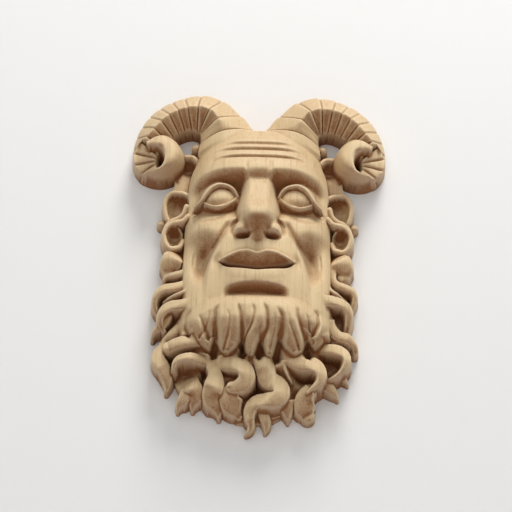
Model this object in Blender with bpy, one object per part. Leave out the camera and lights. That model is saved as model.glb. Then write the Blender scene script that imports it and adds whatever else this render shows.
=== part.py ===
"""Satyr mask: a wall ornament carved in relief from one block of pale wood.

The carving has a flat back and no undercuts, so its front is one height over the back plane. The height
is worked out on a grid from rounded forms, grooves and swept locks of hair, and the grid is closed into
one solid. Heights and places are in millimetres while carving: x to the viewer's right, z up, height out
from the wall.
"""
import math

import bmesh
import bpy
import numpy as np

MILLIMETRE = 0.001
CELL = 1.0
TRIANGLES = 9400
WALL_SLOPE = 11.0
EMPTY = -25.0

FIELD_X = (-98.0, 98.0)
FIELD_Z = (-138.0, 132.0)

SKULL_DEPTH = ((94, 24), (89, 31), (80, 38), (68, 43.5), (58, 47.5), (50, 48.5), (40, 45), (20, 44.5),
               (0, 45),
               (-25, 45), (-45, 44), (-60, 42))
SKULL_HALF_WIDTH = ((94, 24), (86, 36), (76, 42), (66, 45.5), (54, 48.5), (30, 50.5), (0, 51), (-30, 50),
                    (-60, 50))
SKULL_TOP = 90.0

NOSE_RIDGE = ((50, 43), (46.5, 46), (44, 49), (36, 53), (28, 57), (21, 61), (16.5, 62.8), (13.5, 62.6),
              (10.5, 60.2),
              (7, 56.6), (3, 52.8), (0, 50.2), (-2, 46), (-6, 38))
NOSE_HALF_WIDTH = ((50, 11.5), (44, 12), (36, 13.2), (28, 15.2), (20, 16.6), (13, 16), (6, 14), (0, 11),
                   (-6, 9))

FOLD = ((17.3, 19.1), (19.8, 12.0), (23.7, 4.9), (28.3, -1.9), (32.2, -7.8), (35.0, -15.6),
        (36.4, -22.5), (37, -30))
MUZZLE_EDGE = ((19, 16), (12, 19.5), (5, 24), (-2, 28.8), (-8, 32.5), (-15.6, 35.5), (-22.5, 37),
               (-36, 38), (-50, 39))
MUZZLE_LIFT = ((14, -4), (4, -1), (-8, 0), (-26, 0), (-40, -0.5), (-60, -3))

MOUTH_LINE = ((0, -20.4), (6.8, -19.2), (12.2, -18.4), (17.6, -17.8), (23.1, -16.4), (25.6, -15.2),
              (29, -14))
LIP_TOP = ((0, -11.8), (3.6, -10.1), (7, -9.1), (12.4, -9.6), (17.8, -11.6), (22.5, -13.9), (25.2, -15.3))
LIP_LOW = ((0, -30.2), (13.9, -29.6), (18.7, -27.8), (23, -22.5), (26, -15))

HORN_PATH = (-23.3, 82.6, 108, 98.7, (-1, 20, 41, 24, 16, 18, 16, 17, 22))
HORN_HALF_WIDTH = ((0, 26.5), (0.11, 20.6), (0.23, 16.2), (0.34, 15.2), (0.5, 13.1), (0.65, 12.4),
                   (0.82, 10.8), (0.93, 9.8), (1, 8.0))
HORN_RIDGE = ((0, 33), (0.16, 33), (0.39, 31), (0.65, 29), (0.85, 25.5), (0.93, 22), (1, 14))
HORN_OUTER_EDGE = ((0, 19), (0.31, 16), (0.78, 14), (0.93, 13), (1, 10))
HORN_INNER_EDGE = ((0, 21), (0.31, 17), (0.7, 17), (0.93, 14), (1, 10))
HORN_INNER_SHARE = ((0, 0.81), (0.11, 0.79), (0.22, 0.92), (0.3, 1.0))
HORN_RIDGE_PLACE = ((0, 0.05), (0.7, 0.05), (0.9, -0.35), (1, -0.6))
HORN_RINGS = (0.070, 0.179, 0.280, 0.370, 0.451, 0.526, 0.601, 0.675, 0.750, 0.825, 0.899)

# The curl's outer oval and the round inside it: x, z and half sizes. Its face, the crest round it, and
# the crest's start and end, as turns up from straight outward.
COIL_OUTER = (71.8, 72.2, 18.2, 16.2)
COIL_INNER = (76.0, 67.4, 9.4, 9.2)
COIL_FACE = (24.0, 17.5)
COIL_CREST = ((-20, 18), (-50, 23), (-75, 27), (-110, 31), (-180, 34), (-250, 34), (-290, 32))
COIL_GAP = (68.6, 67.8)
COIL_RIBS = (-28, -2, 22, 47)

HAIR_HALF_WIDTH = ((78, 61), (66, 60), (58, 60), (48, 63), (36, 66), (24, 62), (14, 62), (4, 60),
                   (-6, 64), (-16, 62),
                   (-30, 63), (-45, 62), (-60, 62), (-75, 62), (-88, 54), (-98, 44), (-108, 28),
                   (-114, 14))
HAIR_DEPTH = ((70, 9), (40, 9), (0, 9), (-40, 10), (-90, 9), (-120, 7))
BEARD_DEPTH = ((-34, 30), (-40, 34), (-68, 34), (-74, 31), (-80, 27.5), (-88, 23), (-98, 16.5),
               (-108, 11), (-118, 7))
CHIN_DEPTH = ((-34, 34), (-37, 44), (-42, 50.5), (-48, 52.8), (-54, 53), (-60, 51), (-66, 47.5),
              (-72, 44.5), (-80, 42))
CHIN_HALF_WIDTH = ((-34, 50), (-42, 52), (-52, 57), (-60, 58), (-80, 56))
BEARD_HALF_WIDTH = ((-20, 50), (-40, 53), (-60, 56), (-75, 54), (-90, 46), (-104, 34), (-114, 18),
                    (-122, 6))

# Each lock: root x and z, heading, length, turns of its equal arcs, half widths at equal steps from root
# to tip, ridge heights at root, middle and tip, and how far the section is tilted toward the outside of
# each bend.
LOCKS = (
    (-52.5, 2.0, -142, 19.0, (25, 30), (2.5, 5.4, 7.4, 7.4, 4.6), (25, 26, 20), 0.6),
    (52.5, 2.0, -38, 19.0, (-25, -30), (2.5, 5.4, 7.4, 7.4, 4.6), (25, 26, 20), 0.6),
    (-45.5, -12.6, -128, 23.7, (-41, -10, 92), (2.8, 2.1, 1.0), (26, 24.0, 15), 1.0),
    (-40.9, -19.8, -131, 44.2, (-30, -17, 67, 62), (3.4, 3.0, 1.2), (32, 27.0, 15), 1.0),
    (-43.3, -28.5, -145, 21.9, (-17, 2), (1.4, 1.0, 0.7), (32, 30.0, 21), 0.0),
    (-35.5, -34.3, -127, 44.1, (-35, -21, 64, 78), (3.4, 3.8, 1.4), (37, 32.0, 20), 1.0),
    (-61.6, -43.3, -93, 20.8, (-11, -50, 50), (4.9, 4.3, 3.0, 2.2, 0.8), (26, 22, 12), 0.6),
    (-50.8, -55.5, -149, 16.9, (9, -9), (4.1, 2.8, 1.4), (25, 22.0, 15), 0.3),
    (-33, -66.0, -176, 26.0, (6, 8), (3.6, 4.4, 3.8), (38, 34, 28), 0.6),
    (-56.6, -65.1, -156, 39.2, (27, 78, -22, -37), (3.6, 4.0, 4.9, 3.9, 0.9), (28, 22, 12), 0.8),
    (-48.1, -86.0, -78, 27.4, (28, 2, -68, 21), (7.5, 7.6, 5.6, 4.8, 0.8), (26, 24, 10), 0.35),
    (-45.4, -98.2, -101, 14.5, (-11, -26, 44), (3.4, 3.9, 3.7, 2.7, 0.8), (25, 19, 9), 0.4),
    (-28.5, -76.4, -107, 40.7, (43, -29, -16, 60, -42), (4.0, 4.2, 6.6, 6.0, 0.8), (37, 30, 11), 0.5),
    (-31.0, -79.7, 181, 27.2, (-6, 17, 78), (2.9, 3.3, 2.8, 2.4, 1.2), (40, 36, 30), 1.0),
    (-26.9, -78.8, -31, 41.1, (18, 2, -59, -69, -47), (3.2, 5.2, 5.4, 5.2, 3.6), (39, 37, 32), 1.0),
    (-12.9, -99.0, -148, 18.4, (63, 27, 21), (4.6, 7.2, 7.6, 5.6, 2.0), (31, 25, 13), 0.3),
    (4.5, -71.7, -78, 76.3, (0, 0, 66, -79, -83, -9, 70, 46, -89), (7.4, 6.2, 5.3, 4.4, 0.8),
     (39, 31, 11), 0.9),
    (5.5, -109.0, -70, 15.7, (1, -43), (3.4, 3.5, 3.3, 2.4, 0.8), (17, 15, 8), 0.2),
    (21.4, -104.6, -75, 12.2, (-6, -5), (6.4, 5.3, 3.9, 2.3, 0.8), (21, 17, 8), 0.1),
    (21.3, -76.4, -26, 43.5, (9, 6, -55, -71, -10), (3.8, 5.9, 4.8, 2.7, 0.9), (39, 35, 29), 1.0),
    (37.9, -97.7, -143, 17.0, (30, 43, 12), (4.4, 5.6, 6.4, 7.0, 4.6), (28, 23, 14), 0.5),
    (19.8, -79.0, -85, 14.4, (36,), (1.1, 1.0, 0.7), (26, 26.0, 22), 0.0),
    (44.1, -88.5, -37, 17.5, (2, -7, -16), (4.2, 4.2, 3.7, 2.7, 0.8), (23, 17, 9), 0.3),
    (52.7, -79.9, -42, 14.5, (9, -18), (3.5, 2.9, 2.4, 1.8, 0.8), (20, 16, 9), 0.2),
    (42.7, -67.4, -18, 44.3, (12, -29, -78, -31, -31), (3.8, 3.9, 2.8, 1.6, 0.8), (38, 31, 19), 1.0),
    (51.6, -60.1, 14, 20.6, (-15, -36, -29), (4.1, 3.6, 3.4, 3.0, 0.8), (31, 24, 12), 0.5),
    (52.7, -8.2, -89, 40.0, (-2, 73, 1, -85, -12), (2.4, 2.4, 1.0), (26, 23.0, 13), 1.0),
    (49.5, -24.9, -59, 14.5, (29, 10), (1.4, 1.0, 0.7), (28, 27.5, 20), 0.0),
    (39.8, -34.0, -43, 40.0, (50, -26, -75, -9), (4.1, 3.4, 1.7), (38, 31.0, 17), 1.0),
    (49.7, -49.3, -82, 29.4, (32, 33, -6, -75), (4.1, 3.4, 1.7), (31, 24.5, 14), 0.5),
)

# The lower edge of the upper beard, from left to right, and the dark hollows between the locks below it:
# x, z, half sizes, depth and turn.
CHIN_EDGE = ((-58, -58), (-50, -64), (-44, -63), (-38, -69), (-31, -72.5), (-27.5, -66), (-23, -73.5),
             (-18.5, -76),
             (-13.5, -73), (-9, -67), (-5.5, -75), (-2, -77), (3.4, -67.5), (9, -77), (11.5, -76),
             (16.0, -65.5),
             (21, -72.5), (27.5, -76), (31.5, -73.5), (35.5, -65), (41, -70.5), (45, -67), (49, -62),
             (58, -57))
HOLLOWS = (
    (-56, -76, 3.5, 5.5, 12.0, 20), (-33.8, -87, 2.6, 7.0, 13.0, 0), (-18.5, -84.5, 6.0, 3.2, 11.0, 0),
    (-1.5, -95, 7.0, 5.5, 15.0, 0), (33.0, -85.5, 6.5, 5.5, 13.0, 0), (50.5, -77, 6.0, 5.0, 11.0, 0),
    (16, -92, 3.0, 6.0, 8.0, 0),
)

# Each parting in the upper beard: a path of places, the cut's half width and depth at its start and end,
# and the side that slopes gently into it (1 is the viewer's right).
PARTINGS = (
    (((-24.0, -45.0), (-26.7, -52.0), (-26.8, -58.6), (-26.2, -66.0), (-27.5, -75)), 0.8, 3.6, 1.5, 14.0,
     -1),
    (((-12.5, -45.0), (-10.2, -52.2), (-9.1, -58.9), (-8.4, -66), (-8.8, -76)), 0.7, 3.0, 1.5, 13.0, 1),
    (((-2.8, -45.4), (-0.9, -52.0), (-1.8, -58.0), (-7.0, -67), (-9, -72)), 0.6, 1.0, 1.5, 6.0, -1),
    (((4.2, -44.2), (7.6, -51.8), (8.2, -60.2), (4.5, -68), (2.5, -76)), 0.7, 2.8, 1.5, 13.0, 1),
    (((14.0, -48.0), (17.8, -55.0), (18.2, -62.0), (16.2, -69.0), (15.0, -77)), 0.8, 4.0, 1.5, 15.0, -1),
    (((27.7, -44.1), (28.1, -52.1), (30.3, -58.5), (34.5, -68), (36, -76)), 0.8, 2.8, 1.5, 14.0, 1),
    (((-38.0, -52.0), (-35.2, -58), (-31.5, -66.5)), 0.7, 2.0, 1.0, 7.0, 1),
    (((-43, -47), (-47, -52), (-47.5, -58), (-45, -64)), 0.8, 1.8, 1.0, 6.0, -1),
    (((38.5, -46), (41.8, -50), (42.0, -55), (39, -62)), 0.7, 2.0, 1.5, 8.0, -1),
    (((-19.5, -50), (-17.2, -57), (-18.0, -65), (-21.0, -74)), 0.6, 1.1, 0.8, 3.6, 1),
    (((22.0, -50), (22.8, -57), (25.6, -64), (29.5, -73)), 0.6, 1.1, 0.8, 3.6, -1),
    (((-31.0, -49), (-31.4, -55), (-33.5, -61), (-37.5, -66)), 0.6, 1.0, 0.8, 3.0, 1),
    (((12.2, -52), (13.4, -59), (12.2, -66), (10.2, -73)), 0.5, 0.9, 0.6, 2.6, 1),
    (((33.0, -49), (35.4, -55), (36.6, -61), (39.5, -67)), 0.6, 1.0, 0.8, 3.0, -1),
)


def smooth(t):
    """Smooth step from 0 to 1."""
    t = np.clip(t, 0.0, 1.0)
    return t * t * (3.0 - 2.0 * t)


def curve(t, knots):
    """Smooth curve through (place, value) knots that doesn't overshoot them, held level outside."""
    k = np.array(knots, float)
    k = k[np.argsort(k[:, 0])]
    x, y = k.T
    step = np.diff(x)
    rise = np.diff(y) / step
    slope = np.zeros(len(x))
    both = rise[:-1] * rise[1:]
    total = np.where(rise[:-1] + rise[1:] == 0, 1.0, rise[:-1] + rise[1:])
    slope[1:-1] = np.where(both > 0, 2.0 * both / total, 0.0)
    slope[0], slope[-1] = rise[0], rise[-1]
    t = np.clip(t, x[0], x[-1])
    i = np.clip(np.searchsorted(x, t, side="right") - 1, 0, len(x) - 2)
    u = (t - x[i]) / step[i]
    start = (1 + 2 * u) * (1 - u) ** 2 * y[i] + u * (1 - u) ** 2 * step[i] * slope[i]
    return start + u * u * (3 - 2 * u) * y[i + 1] + u * u * (u - 1) * step[i] * slope[i + 1]


def union(a, b, soft):
    """The higher of two surfaces, with a fillet of the given softness where they meet."""
    share = np.clip(0.5 + 0.5 * (a - b) / soft, 0.0, 1.0)
    return b + (a - b) * share + soft * share * (1.0 - share)


def dome(u):
    """Height of a unit half circle at distance u from its centre, zero outside."""
    return np.sqrt(np.clip(1.0 - np.clip(np.abs(u), 0.0, 1.0) ** 2, 0.0, 1.0))


def chain(x, z, heading, length, turns, steps):
    """Points along a path of equal arcs, and its curvature at each (positive where it turns left)."""
    turns = np.array(turns, float)
    middle = (np.arange(steps - 1) + 0.5) / (steps - 1) * len(turns)
    angle = np.radians(heading + np.interp(middle, np.arange(len(turns) + 1), np.r_[0, np.cumsum(turns)]))
    stride = length / (steps - 1)
    path = np.c_[x + np.r_[0, np.cumsum(np.cos(angle) * stride)],
                 z + np.r_[0, np.cumsum(np.sin(angle) * stride)]]
    bend = np.radians(turns) * len(turns) / length
    return path, np.interp(np.linspace(0, len(turns), steps), np.arange(len(turns)) + 0.5, bend)


def through(points, steps=40):
    """A smooth path through a few points."""
    points = np.array(points, float)
    reach = np.r_[0, np.cumsum(np.hypot(*np.diff(points, axis=0).T))]
    place = np.linspace(0, reach[-1], steps)
    return np.c_[curve(place, np.c_[reach, points[:, 0]]), curve(place, np.c_[reach, points[:, 1]])]


class Relief:
    """The height of the carving over the back plane, on a square grid."""

    def __init__(self, cell):
        self.cell = cell
        self.x = np.arange(FIELD_X[0], FIELD_X[1] + cell, cell)
        self.z = np.arange(FIELD_Z[0], FIELD_Z[1] + cell, cell)
        self.X, self.Z = np.meshgrid(self.x, self.z)
        self.H = np.full(self.X.shape, EMPTY)

    def near(self, path, reach):
        """Cells near a path: where in the grid, share of the path's length, distance, side (left is +)."""
        low, high = path.min(axis=0) - reach, path.max(axis=0) + reach
        columns = slice(*np.clip(np.searchsorted(self.x, (low[0], high[0])), 0, len(self.x)))
        rows = slice(*np.clip(np.searchsorted(self.z, (low[1], high[1])), 0, len(self.z)))
        X, Z = self.X[rows, columns], self.Z[rows, columns]
        share, distance, side = np.zeros(X.shape), np.full(X.shape, 1e9), np.ones(X.shape)
        for i, (start, step) in enumerate(zip(path[:-1], np.diff(path, axis=0))):
            rx, rz = X - start[0], Z - start[1]
            along = np.clip((rx * step[0] + rz * step[1]) / (step @ step + 1e-12), 0.0, 1.0)
            away = np.hypot(rx - along * step[0], rz - along * step[1])
            nearer = away < distance
            distance = np.where(nearer, away, distance)
            share = np.where(nearer, (i + along) / (len(path) - 1), share)
            side = np.where(nearer, np.where(step[0] * rz - step[1] * rx >= 0, 1.0, -1.0), side)
        return (rows, columns), share, distance, side

    def add(self, where, height):
        """Keeps the higher of the carving and a new form."""
        self.H[where] = np.maximum(self.H[where], height)

    def groove(self, points, width, depth, fade=0.25):
        """A rounded cut along a smooth path, running out at both ends."""
        where, share, distance, _ = self.near(through(points), width * 3)
        ends = smooth(np.minimum(share, 1 - share) / fade)
        self.H[where] -= depth * ends * np.exp(-((distance / width) ** 2))

    def swell(self, x, z, half_x, half_z, height, turn=0.0):
        """A soft rise (or hollow, where height is negative) with an oval plan."""
        c, s = math.cos(math.radians(turn)), math.sin(math.radians(turn))
        u = ((self.X - x) * c + (self.Z - z) * s) / half_x
        v = ((self.Z - z) * c - (self.X - x) * s) / half_z
        self.H += height * np.exp(-(u * u + v * v))

    def cord(self, points, width, start, end):
        """A raised rounded edge along a smooth path, from one height to another."""
        where, share, distance, _ = self.near(through(points), width * 2 + 3)
        top = start + (end - start) * share - 0.9 * width * (1 - dome(distance / width))
        self.add(where, top - np.maximum(distance - width, 0) * WALL_SLOPE)

    def slot(self, points, start_width, end_width, start_depth, end_depth, gentle):
        """A parting that grows along its path, cut square on one side and sloping gently on the other."""
        where, share, distance, side = self.near(through(points), 11)
        width = start_width + (end_width - start_width) * share
        depth = (start_depth + (end_depth - start_depth) * share ** 1.4) * smooth(share * 5 + 0.15)
        ends = np.where((share == 0) | (share == 1), np.exp(-((distance / width) ** 2)), 1.0)
        slope = np.where(side == gentle, 5.5, 1.8)
        cut = 0.6 * np.exp(-((distance / width) ** 2)) + 0.4 * np.exp(-((distance / slope) ** 2))
        self.H[where] -= depth * cut * ends

    def height_at(self, x, z):
        """Height of the carving at one place."""
        row = int(np.clip(round((z - FIELD_Z[0]) / self.cell), 0, len(self.z) - 1))
        column = int(np.clip(round((x - FIELD_X[0]) / self.cell), 0, len(self.x) - 1))
        return float(self.H[row, column])

    def lock(self, x, z, heading, length, turns, widths, rises, tilt):
        """A lock of hair swept along arcs, growing out of what is under its root.

        Along a straight part the section is a low round; along a bend it tilts like a ribbon,
        highest at a crisp edge inside the bend and falling away to the outside.
        """
        steps = 49
        path, bend = chain(x, z, heading, length, turns, steps)
        place = np.linspace(0, 1, steps)
        half = curve(place, np.c_[np.linspace(0, 1, len(widths)), widths])
        lean = np.tanh(bend * max(widths) * 1.6) * tilt
        where, share, distance, side = self.near(path, max(widths) * 1.4 + 3)
        half = np.interp(share, place, half)
        lean = np.interp(share, place, lean)
        across = -side * distance * np.where(lean >= 0, 1.0, -1.0)
        lean = np.abs(lean)
        root = max(min(rises[0], self.height_at(x, z) - 1.5), 4.0)
        ridge = curve(share, ((0, root), (0.5, rises[1]), (0.85, 0.5 * (rises[1] + rises[2])),
                              (1, rises[2])))
        u = np.clip(across / half, -1, 1)
        plain = 0.4 * half * np.abs(u) ** 2.6
        ribbon = 0.95 * half * ((u + 1) / 2) ** 1.5 + 0.4 * np.clip((-u - 0.85) / 0.15, 0, 1) ** 2
        drop = (1 - lean) * plain + lean * ribbon
        drop += np.where(share == 0, 0.9 * distance, 0)
        top = ridge - drop - np.maximum(distance - half, 0) * WALL_SLOPE
        self.H[where] = union(self.H[where], top, 1.6)


def carve_hair_ground(relief):
    """The low ground of hair beside the face and behind the beard."""
    X, Z = relief.X, relief.Z
    aside = np.abs(X) - curve(Z, HAIR_HALF_WIDTH)
    ground = curve(Z, HAIR_DEPTH) - np.maximum(aside, 0) * WALL_SLOPE * 0.6
    relief.H = np.maximum(relief.H, np.where((Z > 74) | (Z < -114), EMPTY, ground))


def carve_horn(relief, side):
    """The band of a ram's horn, ridged and ringed, as far as its curl."""
    x, z, heading, length, turns = HORN_PATH
    steps = 221
    path, _ = chain(x, z, heading, length, turns, steps)
    if side > 0:
        path = path * (-1, 1)
    where, share, distance, hand = relief.near(path, 26)
    inward = -side * hand * distance
    half = curve(share, HORN_HALF_WIDTH) * np.where(inward > 0, curve(share, HORN_INNER_SHARE), 1.0)
    inward = inward / half
    ridge, place = curve(share, HORN_RIDGE), curve(share, HORN_RIDGE_PLACE)
    inner, outer = curve(share, HORN_INNER_EDGE), curve(share, HORN_OUTER_EDGE)
    round_off = 1.15 + 0.8 * smooth((0.22 - share) / 0.19)
    to_inner = np.clip((inward - place) / (1 - place), 0, 1) ** round_off
    to_outer = np.clip((place - inward) / (1 + place), 0, 1) ** round_off
    top = np.where(inward > place, ridge - (ridge - inner) * to_inner, ridge - (ridge - outer) * to_outer)
    for ring in HORN_RINGS:
        lap = 2.4 * smooth((0.56 - ring) / 0.4)
        past = share - ring
        top -= lap * np.where((past > 0) & (past < 0.08), 1 - past / 0.08, 0.0)
        top -= 1.8 * np.exp(-((past * length / 0.7) ** 2))
    over = np.maximum(np.abs(inward) * half - half, 0)
    relief.add(where, top - over * WALL_SLOPE)


def carve_curl(relief, side):
    """The end of a horn: a flat ribbed face, and the smooth crest that curls round it to a point."""
    x, z, half_x, half_z = COIL_OUTER
    within = 1 - np.hypot((relief.X * side - x) / half_x, (relief.Z - z) / half_z)
    x, z, half_x, half_z = COIL_INNER
    out_x, out_z = relief.X * side - x, relief.Z - z
    beyond = np.hypot(np.where((out_z < 0) & (out_x > 0), 0, out_x / half_x), out_z / half_z) - 1
    turn = -np.degrees(np.arctan2(-out_z, out_x)) % -360
    first, last = COIL_CREST[0][0], COIL_CREST[-1][0]
    crested = (turn < first) & (turn > last)
    fan = np.degrees(np.arctan2(relief.Z - COIL_GAP[1], relief.X * side - COIL_GAP[0]))
    flat = (beyond < 0.1) | ~crested
    low = fan < COIL_RIBS[-1]
    face = COIL_FACE[0] + (COIL_FACE[1] - COIL_FACE[0]) * smooth((out_x + 4) / 18)
    share = np.where(low, 1.0, smooth(within / 0.3)) * flat * (within > 0)
    relief.H += (face - relief.H) * share
    relief.add(..., np.where(flat & low & (within > -0.2), face + np.minimum(within, 0) * 200, EMPTY))
    for heading in COIL_RIBS:
        c, s = math.cos(math.radians(heading)), math.sin(math.radians(heading))
        rib = [(side * (COIL_GAP[0] + away * c), COIL_GAP[1] + away * s) for away in (1.5, 11, 24)]
        relief.groove(rib, 0.8, 2.2, 0.1)
    crest = curve(-turn, [(-angle, height) for angle, height in COIL_CREST])
    across = np.clip(beyond, 0, 9) / (np.clip(beyond, 0, 9) + 1.35 * np.clip(within, 0, 1) + 1e-6)
    width = 0.64 + 0.36 * smooth((turn - last) / 50)
    out = np.clip(across / width, 0, 1)
    round_off = 2.6 + 6.4 * smooth((-turn - 90) / 80)
    top = crest - 0.8 * (1 - across) ** 4 - 3 * out ** 2 - (crest - 18) * out ** round_off
    edge = np.minimum(beyond * half_x, within * 18) * WALL_SLOPE
    shown = crested & (across <= width) & (within > -0.2)
    relief.add(..., np.where(shown, top + np.minimum(edge, 0), EMPTY))
    relief.swell(side * (COIL_GAP[0] + 1.6), COIL_GAP[1], 1.7, 4.0, -44)


def carve_skull(relief):
    """The dome of the head that the features are cut on."""
    X, Z = relief.X, relief.Z
    aside = np.abs(X)
    half = curve(Z, SKULL_HALF_WIDTH)
    square = curve(Z, ((5, 2.7), (-20, 3.4), (-45, 4.4)))
    low = smooth((4 - Z) / 18)
    round_off = np.clip(aside / (half * (1.07 + 0.07 * low)), 0, 1) ** square
    head = curve(Z, SKULL_DEPTH) * np.sqrt(np.clip(1 - round_off, 0, 1))
    head = np.where(aside > half, head - (aside - half) * (6 - 3.8 * low), head)
    head -= np.maximum(Z - SKULL_TOP + 0.0035 * X ** 2, 0) * WALL_SLOPE
    relief.H = np.maximum(relief.H, head - np.maximum(-62 - Z, 0) * 3)


def carve_face(relief):
    """Eye sockets, brow, cheekbones and the muzzle round the mouth."""
    X, Z = relief.X, relief.Z
    aside = np.abs(X)
    roof = smooth((54.5 - 0.0030 * (aside - 24) ** 2 - Z) / 16.0)
    sill = smooth((Z - 15.5) / 17.0)
    across = smooth((aside - 6.0) / 6.0) * smooth((50.5 - aside) / 12.0)
    relief.H -= 13.5 * roof * sill * across * (1 - 0.4 * smooth((aside - 25) / 15))
    relief.swell(0, 53.5, 11, 7.5, 2.4)
    relief.swell(0, 47.2, 9.0, 3.6, -1.9)
    for side in (1, -1):
        relief.swell(side * 24, 54.5, 16, 6.5, 1.4, turn=-4 * side)
        relief.swell(side * 37.5, 10.5, 12, 9, 4.8, turn=14 * side)
        relief.swell(side * 38, -11, 8.5, 16, -7.5, turn=-8 * side)
        relief.swell(side * 46, 40, 5, 12, 1.6, turn=8 * side)
        relief.groove([(side * (x + 1.2), z) for x, z in FOLD[:5]], 1.9, 2.6, 0.3)
        relief.groove([(side * (x + 4.0), z) for x, z in FOLD[2:]], 5.0, 5.6, 0.4)
    edge = smooth((curve(Z, MUZZLE_EDGE) - aside) / 5.0)
    muzzle = (50.5 - 0.0075 * X ** 2 + curve(Z, MUZZLE_LIFT)) * edge + relief.H * (1 - edge)
    lift = np.maximum(muzzle - relief.H, 0) * smooth((14 - Z) / 8) * smooth((Z + 58) / 12)
    relief.H += lift


def carve_mouth(relief):
    """Lips, the hollow under them and the boss of the chin."""
    X, Z = relief.X, relief.Z
    aside = np.hypot(X, 2.2)
    line = curve(aside, MOUTH_LINE)
    top = np.maximum(curve(aside, LIP_TOP), line + 0.4)
    low = np.minimum(curve(aside, LIP_LOW), line - 0.4)
    base = relief.H.copy()
    down = np.clip((top - Z) / np.maximum(top - line, 0.5), 0, 1)
    upper = base + 3.4 * (1 - down) - 6.5 * down ** 1.2 - 2.2 * np.exp(-(((Z - line) / 0.9) ** 2))
    over = base + 3.4 * smooth(1 - (Z - top) / 2.8)
    deep = np.clip((line - Z) / np.maximum(line - low, 0.5), 0, 1)
    fade = smooth((23.5 - aside) / 9.0)
    full = 2.8 * smooth(deep / 0.4) + 0.6 * np.sin(np.pi * deep)
    lower = base - 6.5 + 6.5 * smooth(deep / 0.34) + fade * full
    below = -30.2 - 0.006 * X ** 2 - Z
    hollow = np.clip(below / 6.3, 0, 1)
    under = base + fade * np.where(hollow < 1, 2.8 - 9.6 * smooth(hollow),
                                   -6.8 + 7.6 * smooth((below - 6.3) / 7.0))
    under = np.where(below < 0, base + 2.8 * fade, under)
    new = np.where(Z > top, over, np.where(Z > line, upper, np.where(Z > low, lower, under)))
    relief.H = base + (new - base) * smooth((27.0 - aside) / 3.5) * smooth((Z + 52) / 6)
    relief.swell(0, -4, 2.6, 6.5, -1.6)
    for side in (1, -1):
        relief.swell(side * 27.5, -15, 3.2, 5, -2.0)


def carve_nose(relief):
    """The wedge of the nose, its tip, wings and nostrils."""
    X, Z = relief.X, relief.Z
    away = np.abs(X) / curve(Z, NOSE_HALF_WIDTH)
    ridge = curve(Z, NOSE_RIDGE)
    flat = curve(Z, ((48, 0.42), (30, 0.36), (12, 0.22), (0, 0.12)))
    wedge = ridge - 1.2 * away ** 2 - (ridge - 36.0) * np.clip((away - flat) / (1 - flat), 0, 1.4) ** 2.0
    relief.H = union(relief.H, np.where((Z < -4) | (Z > 49) | (away > 1.35), EMPTY, wedge), 2.0)
    relief.swell(0, 14.5, 10.5, 7.0, 2.4)
    for side in (1, -1):
        c, s = math.cos(math.radians(18 * side)), math.sin(math.radians(18 * side))
        u = ((X - side * 10.9) * c + (Z - 7.4) * s) / 5.7
        v = ((Z - 7.4) * c - (X - side * 10.9) * s) / 7.6
        spread = u * u + v * v
        wing = 43.0 + 11.5 * dome(np.sqrt(spread)) - 22 * np.clip(spread - 1, 0, 9)
        relief.H = union(relief.H, wing, 5.0)
        crease = ((10.5, 17.5), (15.0, 15.0), (18.0, 9.5), (17.8, 1.5))
        relief.groove([(side * x, z) for x, z in crease], 1.7, 2.8, 0.35)
        c, s = math.cos(math.radians(-8 * side)), math.sin(math.radians(-8 * side))
        u = ((X - side * 9.9) * c + (Z - 3.0) * s) / 4.6
        v = ((Z - 3.0) * c - (X - side * 9.9) * s) / 1.9
        relief.H -= 9.0 * np.exp(-((u * u + v * v) ** 1.5))


def carve_eyes(relief):
    """Blank eyeballs between raised lids, with the creases beside and below them."""
    X, Z = relief.X, relief.Z
    for side in (1, -1):
        from_centre = np.hypot((X - side * 26.2) / 13.8, (Z - 34.0) / np.where(Z > 34, 13.2, 9.5))
        ball = 31.0 + 12.4 * dome(from_centre) - 30 * np.clip(from_centre - 1, 0, 9)
        along = (X * side - 26.6) / 11.6
        middle = 33.0 - 2.0 * along
        upper = middle + 8.6 * (1 - np.abs(along) ** 2.1)
        lower = middle - 5.2 * (1 - np.abs(along) ** 2.2)
        relief.H = union(relief.H, ball + 0.8, 6.0)
        opening = smooth((upper - Z) / 0.8) * smooth((Z - lower) / 0.8) * (np.abs(along) < 1)
        relief.H += (ball - 1.6 - relief.H) * opening
        lid = ((14.2, 35.4), (17.0, 39.4), (21.5, 42.0), (26.5, 42.6), (31.5, 40.6), (36.0, 36.0),
               (40.5, 30.6), (43.5, 28.6))
        carve_lid(relief, [(side * x, z) for x, z in lid], 1.25, 44.4, 39.5, 39.5)
        lid = ((15.2, 34.0), (18.5, 30.2), (23.0, 27.7), (28.5, 26.8), (33.5, 28.0), (37.5, 31.0))
        carve_lid(relief, [(side * x, z) for x, z in lid], 0.9, 41.8, 39.5, 39.5)
        folds = (
            (((13.5, 38), (17, 42.4), (21.5, 44.8), (27, 45.2), (32, 43.3), (37, 38.8)), 0.9, 1.4),
            (((35, 39.6), (40, 33.2), (45, 27.7), (49, 24)), 0.9, 1.6),
            (((39, 28.3), (43.0, 25.3), (47, 23)), 0.8, 1.2),
            (((20, 22.8), (25, 19.8), (31, 18.0), (37.2, 17.6), (42.5, 20.5)), 1.8, 1.9),
        )
        for points, width, depth in folds:
            relief.groove([(side * x, z) for x, z in points], width, depth, 0.35)


def carve_lid(relief, points, width, middle, inner, outer):
    """The raised edge of an eyelid."""
    where, share, distance, _ = relief.near(through(points), width * 3)
    level = curve(share, ((0, inner), (0.2, (inner + middle) / 2 + 1), (0.5, middle),
                          (0.8, (outer + middle) / 2), (1, outer - 1)))
    half = width * (0.55 + 0.45 * np.sin(np.pi * np.clip(share * 0.9 + 0.05, 0, 1)))
    relief.add(where, np.where(distance < half * 1.6, level - 1.1 * (distance / half) ** 2, EMPTY))


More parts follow.
